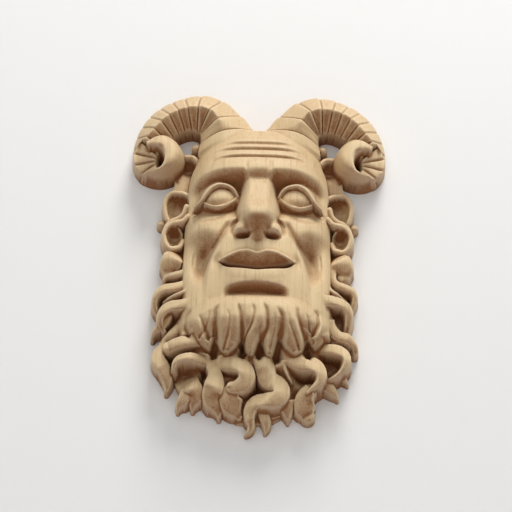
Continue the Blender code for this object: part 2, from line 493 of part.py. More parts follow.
def carve_wrinkles(relief):
    """Furrows of the forehead, the frown and the cheeks."""
    for z, half, depth in ((76.0, 31, 1.9), (70.6, 37, 2.2), (63.6, 40, 2.4)):
        ends = ((-half, z - 1.2), (-half * 0.5, z + 0.2), (0, z), (half * 0.5, z + 0.2), (half, z - 1.2))
        relief.groove(ends, 1.15, depth, 0.3)
    marks = (
        (((26, 63), (31, 62), (36, 58.5)), 0.9, 0.8),
        (((7.2, 62), (8.6, 56), (8, 49)), 1.2, 0.9),
        (((43.6, -2), (44.2, -9), (44.0, -16)), 0.8, 1.4),
    )
    for points, width, depth in marks:
        for side in (1, -1):
            relief.groove([(side * x, z) for x, z in points], width, depth, 0.4)


def carve_bowl(relief, x, z, half_x, half_z, rim, floor):
    """An oval dish."""
    spread = ((relief.X - x) / half_x) ** 2 + ((relief.Z - z) / half_z) ** 2
    dish = floor + (rim - floor) * np.clip(spread, 0, 1) ** 1.2
    relief.H = np.where(spread < 1, np.maximum(relief.H, dish), relief.H)
    relief.H = np.where(spread < 0.85, dish, relief.H)


def carve_temples(relief):
    """The small leaf and lobe beside each temple, the hollow between them, and the knob below the ear."""
    for side in (1, -1):
        relief.cord([(side * x, z) for x, z in ((44.5, 71.5), (48, 74.6), (52, 75.2), (57, 73))], 1.9,
                    17, 14)
        away = np.hypot(relief.X - side * 45.5, relief.Z - 83.0)
        relief.add(..., 11 + 4 * dome(away / 3.2) - np.maximum(away - 3.2, 0) * WALL_SLOPE)
        relief.swell(side * 50.5, 67.5, 4.5, 4.5, -6.0)
        away = np.hypot(relief.X - side * 68.5, relief.Z - 25.0)
        relief.add(..., 6 + 5 * dome(away / 3.4) - np.maximum(away - 3.4, 0) * WALL_SLOPE)


def carve_ears(relief):
    """Ears and the curls below them, alike on both sides."""
    rims = (
        (((49, 43.5), (54.5, 46), (60.5, 46.5), (65, 43), (66.5, 38), (65.8, 32), (64, 27)), 1.6, 19, 14),
        (((50.5, 34), (52, 29.5), (56, 26), (60.5, 24.5), (64.5, 20.5), (66, 15)), 1.8, 23, 15),
        (((49, 26), (53, 22.3), (59, 21.3), (63.5, 18.0), (65.6, 13), (64.6, 7.5), (60, 3.4), (55, 4.6),
          (52.2, 9.5)), 1.9, 25, 18),
    )
    for side in (1, -1):
        carve_bowl(relief, side * 57.0, 35.0, 8.8, 11.5, 13.0, 5.0)
        for points, width, start, end in rims:
            relief.cord([(side * x, z) for x, z in points], width, start, end)
        carve_bowl(relief, side * 58.5, 13, 6.0, 7.0, 19, 9.0)


def carve_beard(relief):
    """The mass of the beard, then its locks."""
    X, Z = relief.X, relief.Z
    half = curve(Z, BEARD_HALF_WIDTH)
    aside = np.abs(X)
    mound = curve(Z, BEARD_DEPTH) * np.sqrt(np.clip(1 - np.clip(aside / half, 0, 1) ** 2.4, 0, 1))
    mound -= np.maximum(aside - half, 0) * 8
    relief.H = union(relief.H, np.where((Z > -34) | (Z < -118), EMPTY, mound), 2.5)
    floor = np.minimum(relief.H, 6.0)
    for x, z, half_x, half_z, depth, turn in HOLLOWS:
        relief.swell(x, z, half_x, half_z, -depth, turn)
    relief.H = np.maximum(relief.H, floor)
    for row in LOCKS:
        relief.lock(*row)
    over = Z - curve(X, CHIN_EDGE)
    half = curve(Z, CHIN_HALF_WIDTH)
    chin = curve(Z, CHIN_DEPTH) * np.sqrt(np.clip(1 - np.clip(aside / half, 0, 1) ** 2.6, 0, 1))
    chin -= 8 * (1 - dome(1 - np.clip(over / 12, 0, 1))) + np.maximum(-over, 0) * WALL_SLOPE * 0.5
    chin = np.where((Z > -34) | (aside > half), EMPTY, chin)
    relief.H = union(relief.H, chin, 1.2)
    for parting in PARTINGS:
        relief.slot(*parting)


def carve(cell):
    """The whole carving on a grid of the given cell size."""
    relief = Relief(cell)
    carve_hair_ground(relief)
    for side in (1, -1):
        carve_horn(relief, side)
        carve_curl(relief, side)
    carve_skull(relief)
    carve_face(relief)
    carve_mouth(relief)
    carve_nose(relief)
    carve_eyes(relief)
    carve_wrinkles(relief)
    carve_temples(relief)
    carve_ears(relief)
    carve_beard(relief)
    return relief


def closed_surface(relief):
    """Points and triangles of the solid between the back plane and the carving.

    Each grid cell is two triangles; each triangle is clipped where the height passes through zero,
    and the flat back is the same pattern turned over, sharing its edge with the front.
    """
    X, Z, H = relief.X, relief.Z, relief.H
    H = np.where(np.abs(H) < 1e-3, 1e-3, H)
    rows, columns = H.shape
    index = np.arange(rows * columns).reshape(rows, columns)
    a, b, c, d = index[:-1, :-1], index[:-1, 1:], index[1:, 1:], index[1:, :-1]
    corners = np.concatenate([np.stack([a, b, c], -1).reshape(-1, 3),
                              np.stack([a, c, d], -1).reshape(-1, 3)])
    height = H.ravel()
    inside = height[corners] > 0
    count = inside.sum(axis=1)
    whole = corners[count == 3]
    point = np.c_[X.ravel(), Z.ravel()]
    cut_of = {}
    cut_at = []

    def cut(i, j):
        key = (min(i, j), max(i, j))
        if key not in cut_of:
            t = height[i] / (height[i] - height[j])
            cut_of[key] = rows * columns + len(cut_at)
            cut_at.append(point[i] + (point[j] - point[i]) * t)
        return cut_of[key]

    clipped = []
    for three, within in zip(corners[(count > 0) & (count < 3)], inside[(count > 0) & (count < 3)]):
        if within.sum() == 1:
            k = int(np.argmax(within))
            i, j, l = three[k], three[(k + 1) % 3], three[(k + 2) % 3]
            clipped.append((i, cut(i, j), cut(i, l)))
        else:
            k = int(np.argmin(within))
            i, j, l = three[k], three[(k + 1) % 3], three[(k + 2) % 3]
            first, second = cut(i, j), cut(i, l)
            clipped.append((first, j, l))
            clipped.append((first, l, second))
    front = np.concatenate([whole, np.array(clipped)])
    plan = np.concatenate([point, np.array(cut_at)])
    depth = np.r_[height, np.zeros(len(cut_at))]
    used = np.unique(front)
    place = np.full(len(plan), -1)
    place[used] = np.arange(len(used))
    front = place[front]
    plan, depth = plan[used], depth[used]
    on_edge = used >= rows * columns
    back_place = np.where(on_edge, np.arange(len(used)), len(used) + np.cumsum(~on_edge) - 1)
    back = back_place[front][:, ::-1]
    points = np.c_[plan[:, 0], -depth, plan[:, 1]]
    flat = np.c_[plan[~on_edge, 0], np.zeros((~on_edge).sum()), plan[~on_edge, 1]]
    return np.concatenate([points, flat]) * MILLIMETRE, np.concatenate([front, back])


def reduced(mesh, triangles):
    """Merges triangles where the surface is flattest until this many are left, and trues the flat back."""
    holder = bpy.data.objects.new("reduce", mesh)
    bpy.context.scene.collection.objects.link(holder)
    decimate = holder.modifiers.new("reduce", "DECIMATE")
    decimate.ratio = triangles / len(mesh.polygons)
    decimate.use_collapse_triangulate = True
    result = bpy.data.meshes.new_from_object(holder.evaluated_get(bpy.context.evaluated_depsgraph_get()))
    bpy.data.objects.remove(holder)
    place = np.empty(len(result.vertices) * 3)
    result.vertices.foreach_get("co", place)
    place = place.reshape(-1, 3)
    place[place[:, 1] > -0.05 * MILLIMETRE, 1] = 0.0
    result.vertices.foreach_set("co", place.ravel())
    return result


def wood():
    """Pale carved wood."""
    material = bpy.data.materials.new("beech_wood")
    material.use_nodes = True
    shader = material.node_tree.nodes["Principled BSDF"]
    shader.inputs["Base Color"].default_value = (0.60, 0.42, 0.24, 1.0)
    shader.inputs["Roughness"].default_value = 0.6
    return material


def build():
    """Makes the one solid of the mask."""
    for leftover in list(bpy.data.objects):
        bpy.data.objects.remove(leftover)
    points, triangles = closed_surface(carve(CELL))
    mesh = bpy.data.meshes.new("satyr_mask_full")
    mesh.from_pydata(points, [], triangles)
    mesh = reduced(mesh, TRIANGLES)
    mesh.name = "satyr_mask"
    work = bmesh.new()
    work.from_mesh(mesh)
    bmesh.ops.dissolve_degenerate(work, edges=work.edges, dist=1e-6)
    bmesh.ops.triangulate(work, faces=[face for face in work.faces if len(face.verts) > 3])
    work.to_mesh(mesh)
    work.free()
    mesh.shade_smooth()
    mesh.set_sharp_from_angle(angle=math.radians(50))
    mesh.materials.append(wood())
    group = bpy.data.collections.new("satyr_mask")
    bpy.context.scene.collection.children.link(group)
    group.objects.link(bpy.data.objects.new("satyr_mask", mesh))


build()
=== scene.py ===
"""Looks of the satyr mask: the fine carving, its pale wood and the stage that it is seen on.

The carving is one height over the flat back plane, worked out on a fine grid by the same functions as the
solid, with fine strands added along the hair. Heights and places are in millimetres while carving: x to
the viewer's right, z up, height out from the wall.
"""

import math

import bpy
import numpy as np
from mathutils import Matrix, Vector


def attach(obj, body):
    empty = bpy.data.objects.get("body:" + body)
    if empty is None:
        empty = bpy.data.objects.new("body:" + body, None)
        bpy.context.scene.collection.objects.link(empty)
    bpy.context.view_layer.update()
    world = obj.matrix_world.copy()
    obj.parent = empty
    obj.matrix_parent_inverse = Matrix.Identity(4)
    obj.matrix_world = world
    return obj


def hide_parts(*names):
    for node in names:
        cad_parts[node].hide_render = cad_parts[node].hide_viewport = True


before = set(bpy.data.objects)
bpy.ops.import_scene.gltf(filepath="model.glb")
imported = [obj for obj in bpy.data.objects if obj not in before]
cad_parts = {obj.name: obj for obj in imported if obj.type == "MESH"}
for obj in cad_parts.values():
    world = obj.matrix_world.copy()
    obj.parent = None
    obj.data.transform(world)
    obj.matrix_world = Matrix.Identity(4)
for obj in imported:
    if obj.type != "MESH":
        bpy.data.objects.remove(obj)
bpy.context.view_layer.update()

bl_info = {
    "name": "Satyr mask",
    "version": (1, 0, 0),
    "blender": (4, 5, 0),
    "location": "3D View > Sidebar > Satyr mask",
    "description": "Carves a wooden satyr mask in relief and sets it on a pale wall",
    "category": "Object",
}

MILLIMETRE = 0.001
WALL_SLOPE = 11.0
EMPTY = -25.0
LEAST_HEIGHT = 1e-3
PATH_STEPS = 40
LOCK_STEPS = 49
HORN_STEPS = 221
STRAND_WIDTH = 1.7
BACK_TOLERANCE = 0.05
BACK_CLEAR = 0.0002

# How far each mask averages the height, and the height over that average that fills it, in millimetres.
NEAR_REACH, NEAR_FULL, NEAR_SHARE = 1.6, 1.6, 0.5
WIDE_REACH, WIDE_FULL, WIDE_SHARE = 6.0, 7.0, 0.7
EDGE_REACH, EDGE_FULL = 0.8, 0.35
LOW_GROUND = 4.0
# Both kinds of slope are end grain; the larger share for down-facing slopes is painted shade under them.
DOWN_GRAIN_AND_SHADE_SHARE, UP_SHARE, END_GRAIN_REACH = 1.15, 0.35, 0.5

# The wood's patterns: repeats in a metre on each axis, the noise's detail, roughness and distortion, the
# range of it that shows, how much it darkens the wood, and its height.
GRAIN_PATTERNS = {
    "lines": ((430, 110, 5.5), 2.0, 0.55, 0.3, 0.50, 0.72, 0.42, 0.0),
    "fibres": ((1500, 420, 38), 3.0, 0.6, 0.0, 0.35, 0.75, 0.20, -0.35),
    "bands": ((55, 30, 7), 2.0, 0.5, 0.0, 0.35, 0.70, 0.22, 0.0),
    "pores": ((1250, 900, 105), 1.0, 0.4, 0.0, 0.64, 0.74, 0.55, -1.0),
    "specks": ((1100, 1100, 1100), 2.0, 0.6, 0.0, 0.50, 0.68, 0.95, -0.6),
}
# Darkening of hollows and cross-cut slopes: partly real stain in the wood, partly painted shade in hollows
# and under down-facing slopes.
STAIN_PATCHES = (260, 260, 200)
STAIN_SPECKS = (950, 950, 950)
HOLLOW_STAIN_AND_SHADE, END_GRAIN_STAIN_AND_SHADE = 0.75, 1.05
SPECK_COLOUR, SPECK_SHARE = (0.10, 0.04, 0.012, 1), 0.45
WORN_COLOUR, WORN_SHARE = (0.88, 0.74, 0.52, 1), 0.35
GOUGE_FACETS = (260, 260, 150)
FILE_MARKS, FILE_TURN = (1300, 500, 130), 0.8
FACET_SHARE, FILE_SHARE = 0.5, 0.6
CHISEL_STRENGTH, FIBRE_STRENGTH, FIBRE_DEPTH = 0.35, 0.5, 0.00012
STAIN_ROUGHNESS, PORE_ROUGHNESS, WAX_SPECULAR = 0.16, 0.10, 0.35

STAGE_REACH, FLOOR_LEVEL, WALL_PLACE = 2.5, -0.9, -0.0004
CAMERA_AIM = (0, -0.030, -0.005)
SENSOR_WIDTH = 36
PICTURE_PIXELS = 512
# Each light: place, size, power and colour.
LIGHTS = {
    "key": ((0.30, -0.80, 1.45), 0.7, 24, (1.0, 0.985, 0.96)),
    "front": ((-0.15, -1.7, 0.25), 1.6, 9, (1.0, 0.99, 0.98)),
    "behind": ((0.6, 1.4, 0.9), 1.2, 18, (1.0, 0.99, 0.98)),
}
ROOM_COLOUR, ROOM_STRENGTH = (1.0, 0.99, 0.98, 1), 0.30

FIELD_X = (-98.0, 98.0)
FIELD_Z = (-138.0, 132.0)

SKULL_DEPTH = ((94, 24), (89, 31), (80, 38), (68, 43.5), (58, 47.5), (50, 48.5), (40, 45), (20, 44.5),
               (0, 45), (-25, 45), (-45, 44), (-60, 42))
SKULL_HALF_WIDTH = ((94, 24), (86, 36), (76, 42), (66, 45.5), (54, 48.5), (30, 50.5), (0, 51), (-30, 50),
                    (-60, 50))
SKULL_TOP = 90.0

NOSE_RIDGE = ((50, 43), (46.5, 46), (44, 49), (36, 53), (28, 57), (21, 61), (16.5, 62.8), (13.5, 62.6),
              (10.5, 60.2), (7, 56.6), (3, 52.8), (0, 50.2), (-2, 46), (-6, 38))
NOSE_HALF_WIDTH = ((50, 11.5), (44, 12), (36, 13.2), (28, 15.2), (20, 16.6), (13, 16), (6, 14), (0, 11),
                   (-6, 9))
NOSE_CREASE = ((10.5, 17.5), (15.0, 15.0), (18.0, 9.5), (17.8, 1.5))
# Ovals of a wing and of a nostril: x, z, half sizes and turn.
NOSE_WING = (10.9, 7.4, 5.7, 7.6, 18)
NOSTRIL = (9.9, 3.0, 4.6, 1.9, -8)
NOSTRIL_DEPTH = 9.0

FOLD = ((17.3, 19.1), (19.8, 12.0), (23.7, 4.9), (28.3, -1.9), (32.2, -7.8), (35.0, -15.6),
        (36.4, -22.5), (37, -30))
MUZZLE_EDGE = ((19, 16), (12, 19.5), (5, 24), (-2, 28.8), (-8, 32.5), (-15.6, 35.5), (-22.5, 37),
               (-36, 38), (-50, 39))
MUZZLE_LIFT = ((14, -4), (4, -1), (-8, 0), (-26, 0), (-40, -0.5), (-60, -3))

MOUTH_LINE = ((0, -20.4), (6.8, -19.2), (12.2, -18.4), (17.6, -17.8), (23.1, -16.4), (25.6, -15.2),
              (29, -14))
LIP_TOP = ((0, -11.8), (3.6, -10.1), (7, -9.1), (12.4, -9.6), (17.8, -11.6), (22.5, -13.9), (25.2, -15.3))
LIP_LOW = ((0, -30.2), (13.9, -29.6), (18.7, -27.8), (23, -22.5), (26, -15))
UPPER_LIP_RISE = 3.4
LOWER_LIP_RISE = 2.8
MOUTH_DEPTH = 6.5
UNDER_LIP_DROP = 9.6
UNDER_LIP_LENGTH = 6.3

UPPER_LID = ((14.2, 35.4), (17.0, 39.4), (21.5, 42.0), (26.5, 42.6), (31.5, 40.6), (36.0, 36.0),
             (40.5, 30.6), (43.5, 28.6))
LOWER_LID = ((15.2, 34.0), (18.5, 30.2), (23.0, 27.7), (28.5, 26.8), (33.5, 28.0), (37.5, 31.0))
LID_CORNER = 39.5
EYE_PLACE = (26.2, 34.0)
EYE_HALF_WIDTH = 13.8
EYE_HALF_HEIGHTS = (13.2, 9.5)
EYE_HEIGHT, EYE_ROUND = 31.0, 12.4
SOCKET_DEPTH = 13.5
MUZZLE_HEIGHT = 50.5

# Soft forms on both sides of the face: brow, cheekbone, the hollow below it and the temple. Each is x, z,
# half sizes, height and turn.
FACE_FORMS = (
    (24, 54.5, 16, 6.5, 1.4, -4), (37.5, 10.5, 12, 9, 4.8, 14), (38, -11, 8.5, 16, -7.5, -8),
    (46, 40, 5, 12, 1.6, 8),
)
# Creases on both sides of the face: a path of places, half width and depth, round the eyes and elsewhere.
EYE_CREASES = (
    (((13.5, 38), (17, 42.4), (21.5, 44.8), (27, 45.2), (32, 43.3), (37, 38.8)), 0.9, 1.4),
    (((35, 39.6), (40, 33.2), (45, 27.7), (49, 24)), 0.9, 1.6),
    (((39, 28.3), (43.0, 25.3), (47, 23)), 0.8, 1.2),
    (((20, 22.8), (25, 19.8), (31, 18.0), (37.2, 17.6), (42.5, 20.5)), 1.8, 1.9),
)
FACE_CREASES = (
    (((26, 63), (31, 62), (36, 58.5)), 0.9, 0.8),
    (((7.2, 62), (8.6, 56), (8, 49)), 1.2, 0.9),
    (((43.6, -2), (44.2, -9), (44.0, -16)), 0.8, 1.4),
)
# Each furrow of the forehead: height on the face, half length and depth.
FURROWS = ((76.0, 31, 1.9), (70.6, 37, 2.2), (63.6, 40, 2.4))

TEMPLE_LEAF = ((44.5, 71.5), (48, 74.6), (52, 75.2), (57, 73))
# Raised edges of the ear and the cup curl below it: a path of places, half width, start and end height.
EAR_RIMS = (
    (((49, 43.5), (54.5, 46), (60.5, 46.5), (65, 43), (66.5, 38), (65.8, 32), (64, 27)), 1.6, 19, 14),
    (((50.5, 34), (52, 29.5), (56, 26), (60.5, 24.5), (64.5, 20.5), (66, 15)), 1.8, 23, 15),
    (((49, 26), (53, 22.3), (59, 21.3), (63.5, 18.0), (65.6, 13), (64.6, 7.5), (60, 3.4), (55, 4.6),
      (52.2, 9.5)), 1.9, 25, 18),
)
# The bowl of the ear and of the cup curl: x, z, half sizes, and the heights of its rim and floor.
EAR_BOWL = (57.0, 35.0, 8.8, 11.5, 13.0, 5.0)
CUP_BOWL = (58.5, 13, 6.0, 7.0, 19, 9.0)

HORN_PATH = (-23.3, 82.6, 108, 98.7, (-1, 20, 41, 24, 16, 18, 16, 17, 22))
HORN_HALF_WIDTH = ((0, 26.5), (0.11, 20.6), (0.23, 16.2), (0.34, 15.2), (0.5, 13.1), (0.65, 12.4),
                   (0.82, 10.8), (0.93, 9.8), (1, 8.0))
HORN_RIDGE = ((0, 33), (0.16, 33), (0.39, 31), (0.65, 29), (0.85, 25.5), (0.93, 22), (1, 14))
HORN_OUTER_EDGE = ((0, 19), (0.31, 16), (0.78, 14), (0.93, 13), (1, 10))
HORN_INNER_EDGE = ((0, 21), (0.31, 17), (0.7, 17), (0.93, 14), (1, 10))
HORN_INNER_SHARE = ((0, 0.81), (0.11, 0.79), (0.22, 0.92), (0.3, 1.0))
HORN_RIDGE_PLACE = ((0, 0.05), (0.7, 0.05), (0.9, -0.35), (1, -0.6))
RING_WIDTH, RING_DEPTH = 0.7, 1.8
RING_LAP, LAP_REACH = 2.4, 0.08
HORN_RINGS = (0.070, 0.179, 0.280, 0.370, 0.451, 0.526, 0.601, 0.675, 0.750, 0.825, 0.899)

# The curl: its outer oval and the round inside it (x, z and half sizes), the height of its face near the
# gap and at the rim, the crest's height at each turn round it, the gap's place and the ribs' headings.
COIL_OUTER = (71.8, 72.2, 18.2, 16.2)
COIL_INNER = (76.0, 67.4, 9.4, 9.2)
COIL_FACE = (24.0, 17.5)
COIL_CREST = ((-20, 18), (-50, 23), (-75, 27), (-110, 31), (-180, 34), (-250, 34), (-290, 32))
COIL_GAP = (68.6, 67.8)
COIL_RIBS = (-28, -2, 22, 47)

HAIR_HALF_WIDTH = ((78, 61), (66, 60), (58, 60), (48, 63), (36, 66), (24, 62), (14, 62), (4, 60),
                   (-6, 64), (-16, 62), (-30, 63), (-45, 62), (-60, 62), (-75, 62), (-88, 54),
                   (-98, 44), (-108, 28), (-114, 14))
HAIR_ENDS = (-114, 74)
HAIR_DEPTH = ((70, 9), (40, 9), (0, 9), (-40, 10), (-90, 9), (-120, 7))
BEARD_DEPTH = ((-34, 30), (-40, 34), (-68, 34), (-74, 31), (-80, 27.5), (-88, 23), (-98, 16.5),
               (-108, 11), (-118, 7))
CHIN_DEPTH = ((-34, 34), (-37, 44), (-42, 50.5), (-48, 52.8), (-54, 53), (-60, 51), (-66, 47.5),
              (-72, 44.5), (-80, 42))
CHIN_HALF_WIDTH = ((-34, 50), (-42, 52), (-52, 57), (-60, 58), (-80, 56))
BEARD_HALF_WIDTH = ((-20, 50), (-40, 53), (-60, 56), (-75, 54), (-90, 46), (-104, 34), (-114, 18),
                    (-122, 6))

# Each lock: root x and z, heading, length, turns of its equal arcs, half widths at equal steps from root
# to tip, ridge heights at root, middle and tip, and how far the section is tilted toward the outside of
# each bend.
LOCKS = (
    (-52.5, 2.0, -142, 19.0, (25, 30), (2.5, 5.4, 7.4, 7.4, 4.6), (25, 26, 20), 0.6),
    (52.5, 2.0, -38, 19.0, (-25, -30), (2.5, 5.4, 7.4, 7.4, 4.6), (25, 26, 20), 0.6),
    (-45.5, -12.6, -128, 23.7, (-41, -10, 92), (2.8, 2.1, 1.0), (26, 24.0, 15), 1.0),
    (-40.9, -19.8, -131, 44.2, (-30, -17, 67, 62), (3.4, 3.0, 1.2), (32, 27.0, 15), 1.0),
    (-43.3, -28.5, -145, 21.9, (-17, 2), (1.4, 1.0, 0.7), (32, 30.0, 21), 0.0),
    (-35.5, -34.3, -127, 44.1, (-35, -21, 64, 78), (3.4, 3.8, 1.4), (37, 32.0, 20), 1.0),
    (-61.6, -43.3, -93, 20.8, (-11, -50, 50), (4.9, 4.3, 3.0, 2.2, 0.8), (26, 22, 12), 0.6),
    (-50.8, -55.5, -149, 16.9, (9, -9), (4.1, 2.8, 1.4), (25, 22.0, 15), 0.3),
    (-33, -66.0, -176, 26.0, (6, 8), (3.6, 4.4, 3.8), (38, 34, 28), 0.6),
    (-56.6, -65.1, -156, 39.2, (27, 78, -22, -37), (3.6, 4.0, 4.9, 3.9, 0.9), (28, 22, 12), 0.8),
    (-48.1, -86.0, -78, 27.4, (28, 2, -68, 21), (7.5, 7.6, 5.6, 4.8, 0.8), (26, 24, 10), 0.35),
    (-45.4, -98.2, -101, 14.5, (-11, -26, 44), (3.4, 3.9, 3.7, 2.7, 0.8), (25, 19, 9), 0.4),
    (-28.5, -76.4, -107, 40.7, (43, -29, -16, 60, -42), (4.0, 4.2, 6.6, 6.0, 0.8), (37, 30, 11), 0.5),
    (-31.0, -79.7, 181, 27.2, (-6, 17, 78), (2.9, 3.3, 2.8, 2.4, 1.2), (40, 36, 30), 1.0),
    (-26.9, -78.8, -31, 41.1, (18, 2, -59, -69, -47), (3.2, 5.2, 5.4, 5.2, 3.6), (39, 37, 32), 1.0),
    (-12.9, -99.0, -148, 18.4, (63, 27, 21), (4.6, 7.2, 7.6, 5.6, 2.0), (31, 25, 13), 0.3),
    (4.5, -71.7, -78, 76.3, (0, 0, 66, -79, -83, -9, 70, 46, -89), (7.4, 6.2, 5.3, 4.4, 0.8),
     (39, 31, 11), 0.9),
    (5.5, -109.0, -70, 15.7, (1, -43), (3.4, 3.5, 3.3, 2.4, 0.8), (17, 15, 8), 0.2),
    (21.4, -104.6, -75, 12.2, (-6, -5), (6.4, 5.3, 3.9, 2.3, 0.8), (21, 17, 8), 0.1),
    (21.3, -76.4, -26, 43.5, (9, 6, -55, -71, -10), (3.8, 5.9, 4.8, 2.7, 0.9), (39, 35, 29), 1.0),
    (37.9, -97.7, -143, 17.0, (30, 43, 12), (4.4, 5.6, 6.4, 7.0, 4.6), (28, 23, 14), 0.5),
    (19.8, -79.0, -85, 14.4, (36,), (1.1, 1.0, 0.7), (26, 26.0, 22), 0.0),
    (44.1, -88.5, -37, 17.5, (2, -7, -16), (4.2, 4.2, 3.7, 2.7, 0.8), (23, 17, 9), 0.3),
    (52.7, -79.9, -42, 14.5, (9, -18), (3.5, 2.9, 2.4, 1.8, 0.8), (20, 16, 9), 0.2),
    (42.7, -67.4, -18, 44.3, (12, -29, -78, -31, -31), (3.8, 3.9, 2.8, 1.6, 0.8), (38, 31, 19), 1.0),
    (51.6, -60.1, 14, 20.6, (-15, -36, -29), (4.1, 3.6, 3.4, 3.0, 0.8), (31, 24, 12), 0.5),
    (52.7, -8.2, -89, 40.0, (-2, 73, 1, -85, -12), (2.4, 2.4, 1.0), (26, 23.0, 13), 1.0),
    (49.5, -24.9, -59, 14.5, (29, 10), (1.4, 1.0, 0.7), (28, 27.5, 20), 0.0),
    (39.8, -34.0, -43, 40.0, (50, -26, -75, -9), (4.1, 3.4, 1.7), (38, 31.0, 17), 1.0),
    (49.7, -49.3, -82, 29.4, (32, 33, -6, -75), (4.1, 3.4, 1.7), (31, 24.5, 14), 0.5),
)

# The lower edge of the upper beard, from left to right, and the dark hollows between the locks below it:
# x, z, half sizes, depth and turn.
CHIN_EDGE = ((-58, -58), (-50, -64), (-44, -63), (-38, -69), (-31, -72.5), (-27.5, -66), (-23, -73.5),
             (-18.5, -76), (-13.5, -73), (-9, -67), (-5.5, -75), (-2, -77), (3.4, -67.5), (9, -77),
             (11.5, -76), (16.0, -65.5), (21, -72.5), (27.5, -76), (31.5, -73.5), (35.5, -65),
             (41, -70.5), (45, -67), (49, -62), (58, -57))
HOLLOWS = (
    (-56, -76, 3.5, 5.5, 12.0, 20), (-33.8, -87, 2.6, 7.0, 13.0, 0), (-18.5, -84.5, 6.0, 3.2, 11.0, 0),
    (-1.5, -95, 7.0, 5.5, 15.0, 0), (33.0, -85.5, 6.5, 5.5, 13.0, 0), (50.5, -77, 6.0, 5.0, 11.0, 0),
    (16, -92, 3.0, 6.0, 8.0, 0),
)

# Each parting in the upper beard: a path of places, the cut's half width and depth at its start and end,
# and the side that slopes gently into it (1 is the viewer's right).
PARTINGS = (
    (((-24, -45), (-26.7, -52), (-26.8, -58.6), (-26.2, -66), (-27.5, -75)), 0.8, 3.6, 1.5, 14.0, -1),
    (((-12.5, -45.0), (-10.2, -52.2), (-9.1, -58.9), (-8.4, -66), (-8.8, -76)), 0.7, 3.0, 1.5, 13.0, 1),
    (((-2.8, -45.4), (-0.9, -52.0), (-1.8, -58.0), (-7.0, -67), (-9, -72)), 0.6, 1.0, 1.5, 6.0, -1),
    (((4.2, -44.2), (7.6, -51.8), (8.2, -60.2), (4.5, -68), (2.5, -76)), 0.7, 2.8, 1.5, 13.0, 1),
    (((14.0, -48.0), (17.8, -55.0), (18.2, -62.0), (16.2, -69.0), (15.0, -77)), 0.8, 4.0, 1.5, 15.0, -1),
    (((27.7, -44.1), (28.1, -52.1), (30.3, -58.5), (34.5, -68), (36, -76)), 0.8, 2.8, 1.5, 14.0, 1),
    (((-38.0, -52.0), (-35.2, -58), (-31.5, -66.5)), 0.7, 2.0, 1.0, 7.0, 1),
    (((-43, -47), (-47, -52), (-47.5, -58), (-45, -64)), 0.8, 1.8, 1.0, 6.0, -1),
    (((38.5, -46), (41.8, -50), (42.0, -55), (39, -62)), 0.7, 2.0, 1.5, 8.0, -1),
    (((-19.5, -50), (-17.2, -57), (-18.0, -65), (-21.0, -74)), 0.6, 1.1, 0.8, 3.6, 1),
    (((22.0, -50), (22.8, -57), (25.6, -64), (29.5, -73)), 0.6, 1.1, 0.8, 3.6, -1),
    (((-31.0, -49), (-31.4, -55), (-33.5, -61), (-37.5, -66)), 0.6, 1.0, 0.8, 3.0, 1),
    (((12.2, -52), (13.4, -59), (12.2, -66), (10.2, -73)), 0.5, 0.9, 0.6, 2.6, 1),
    (((33.0, -49), (35.4, -55), (36.6, -61), (39.5, -67)), 0.6, 1.0, 0.8, 3.0, -1),
)


def smooth(t):
    """Smooth step from 0 to 1."""
    t = np.clip(t, 0.0, 1.0)
    return t * t * (3.0 - 2.0 * t)


def curve(t, knots):
    """Smooth curve through (place, value) knots that doesn't overshoot them, held level outside."""
    k = np.array(knots, float)
    k = k[np.argsort(k[:, 0])]
    x, y = k.T
    step = np.diff(x)
    rise = np.diff(y) / step
    slope = np.zeros(len(x))
    both = rise[:-1] * rise[1:]
    total = np.where(rise[:-1] + rise[1:] == 0, 1.0, rise[:-1] + rise[1:])
    slope[1:-1] = np.where(both > 0, 2.0 * both / total, 0.0)
    slope[0], slope[-1] = rise[0], rise[-1]
    t = np.clip(t, x[0], x[-1])
    i = np.clip(np.searchsorted(x, t, side="right") - 1, 0, len(x) - 2)
    u = (t - x[i]) / step[i]
    start = (1 + 2 * u) * (1 - u) ** 2 * y[i] + u * (1 - u) ** 2 * step[i] * slope[i]
    return start + u * u * (3 - 2 * u) * y[i + 1] + u * u * (u - 1) * step[i] * slope[i + 1]


def union(a, b, soft):
    """The higher of two surfaces, with a fillet of the given softness where they meet."""
    share = np.clip(0.5 + 0.5 * (a - b) / soft, 0.0, 1.0)
    return b + (a - b) * share + soft * share * (1.0 - share)


def dome(u):
    """Height of a unit half circle at distance u from its centre, zero outside."""
    return np.sqrt(np.clip(1.0 - np.clip(np.abs(u), 0.0, 1.0) ** 2, 0.0, 1.0))


def rounded(aside, half, power):
    """A section's share of its height, from 1 in the middle to 0 at its half width."""
    return np.sqrt(np.clip(1 - np.clip(aside / half, 0, 1) ** power, 0, 1))


def mirrored(points, side, outward=0.0):
    """Places moved outward and set on one side of the face (1 is the viewer's right)."""
    return [(side * (x + outward), z) for x, z in points]


def chain(x, z, heading, length, turns, steps):
    """Points along a path of equal arcs, and its curvature at each (positive where it turns left)."""
    turns = np.array(turns, float)
    middle = (np.arange(steps - 1) + 0.5) / (steps - 1) * len(turns)
    angle = np.radians(heading + np.interp(middle, np.arange(len(turns) + 1), np.r_[0, np.cumsum(turns)]))
    stride = length / (steps - 1)
    path = np.c_[x + np.r_[0, np.cumsum(np.cos(angle) * stride)],
                 z + np.r_[0, np.cumsum(np.sin(angle) * stride)]]
    bend = np.radians(turns) * len(turns) / length
    return path, np.interp(np.linspace(0, len(turns), steps), np.arange(len(turns)) + 0.5, bend)


def through(points):
    """A smooth path through a few points."""
    points = np.array(points, float)
    reach = np.r_[0, np.cumsum(np.hypot(*np.diff(points, axis=0).T))]
    place = np.linspace(0, reach[-1], PATH_STEPS)
    return np.c_[curve(place, np.c_[reach, points[:, 0]]), curve(place, np.c_[reach, points[:, 1]])]


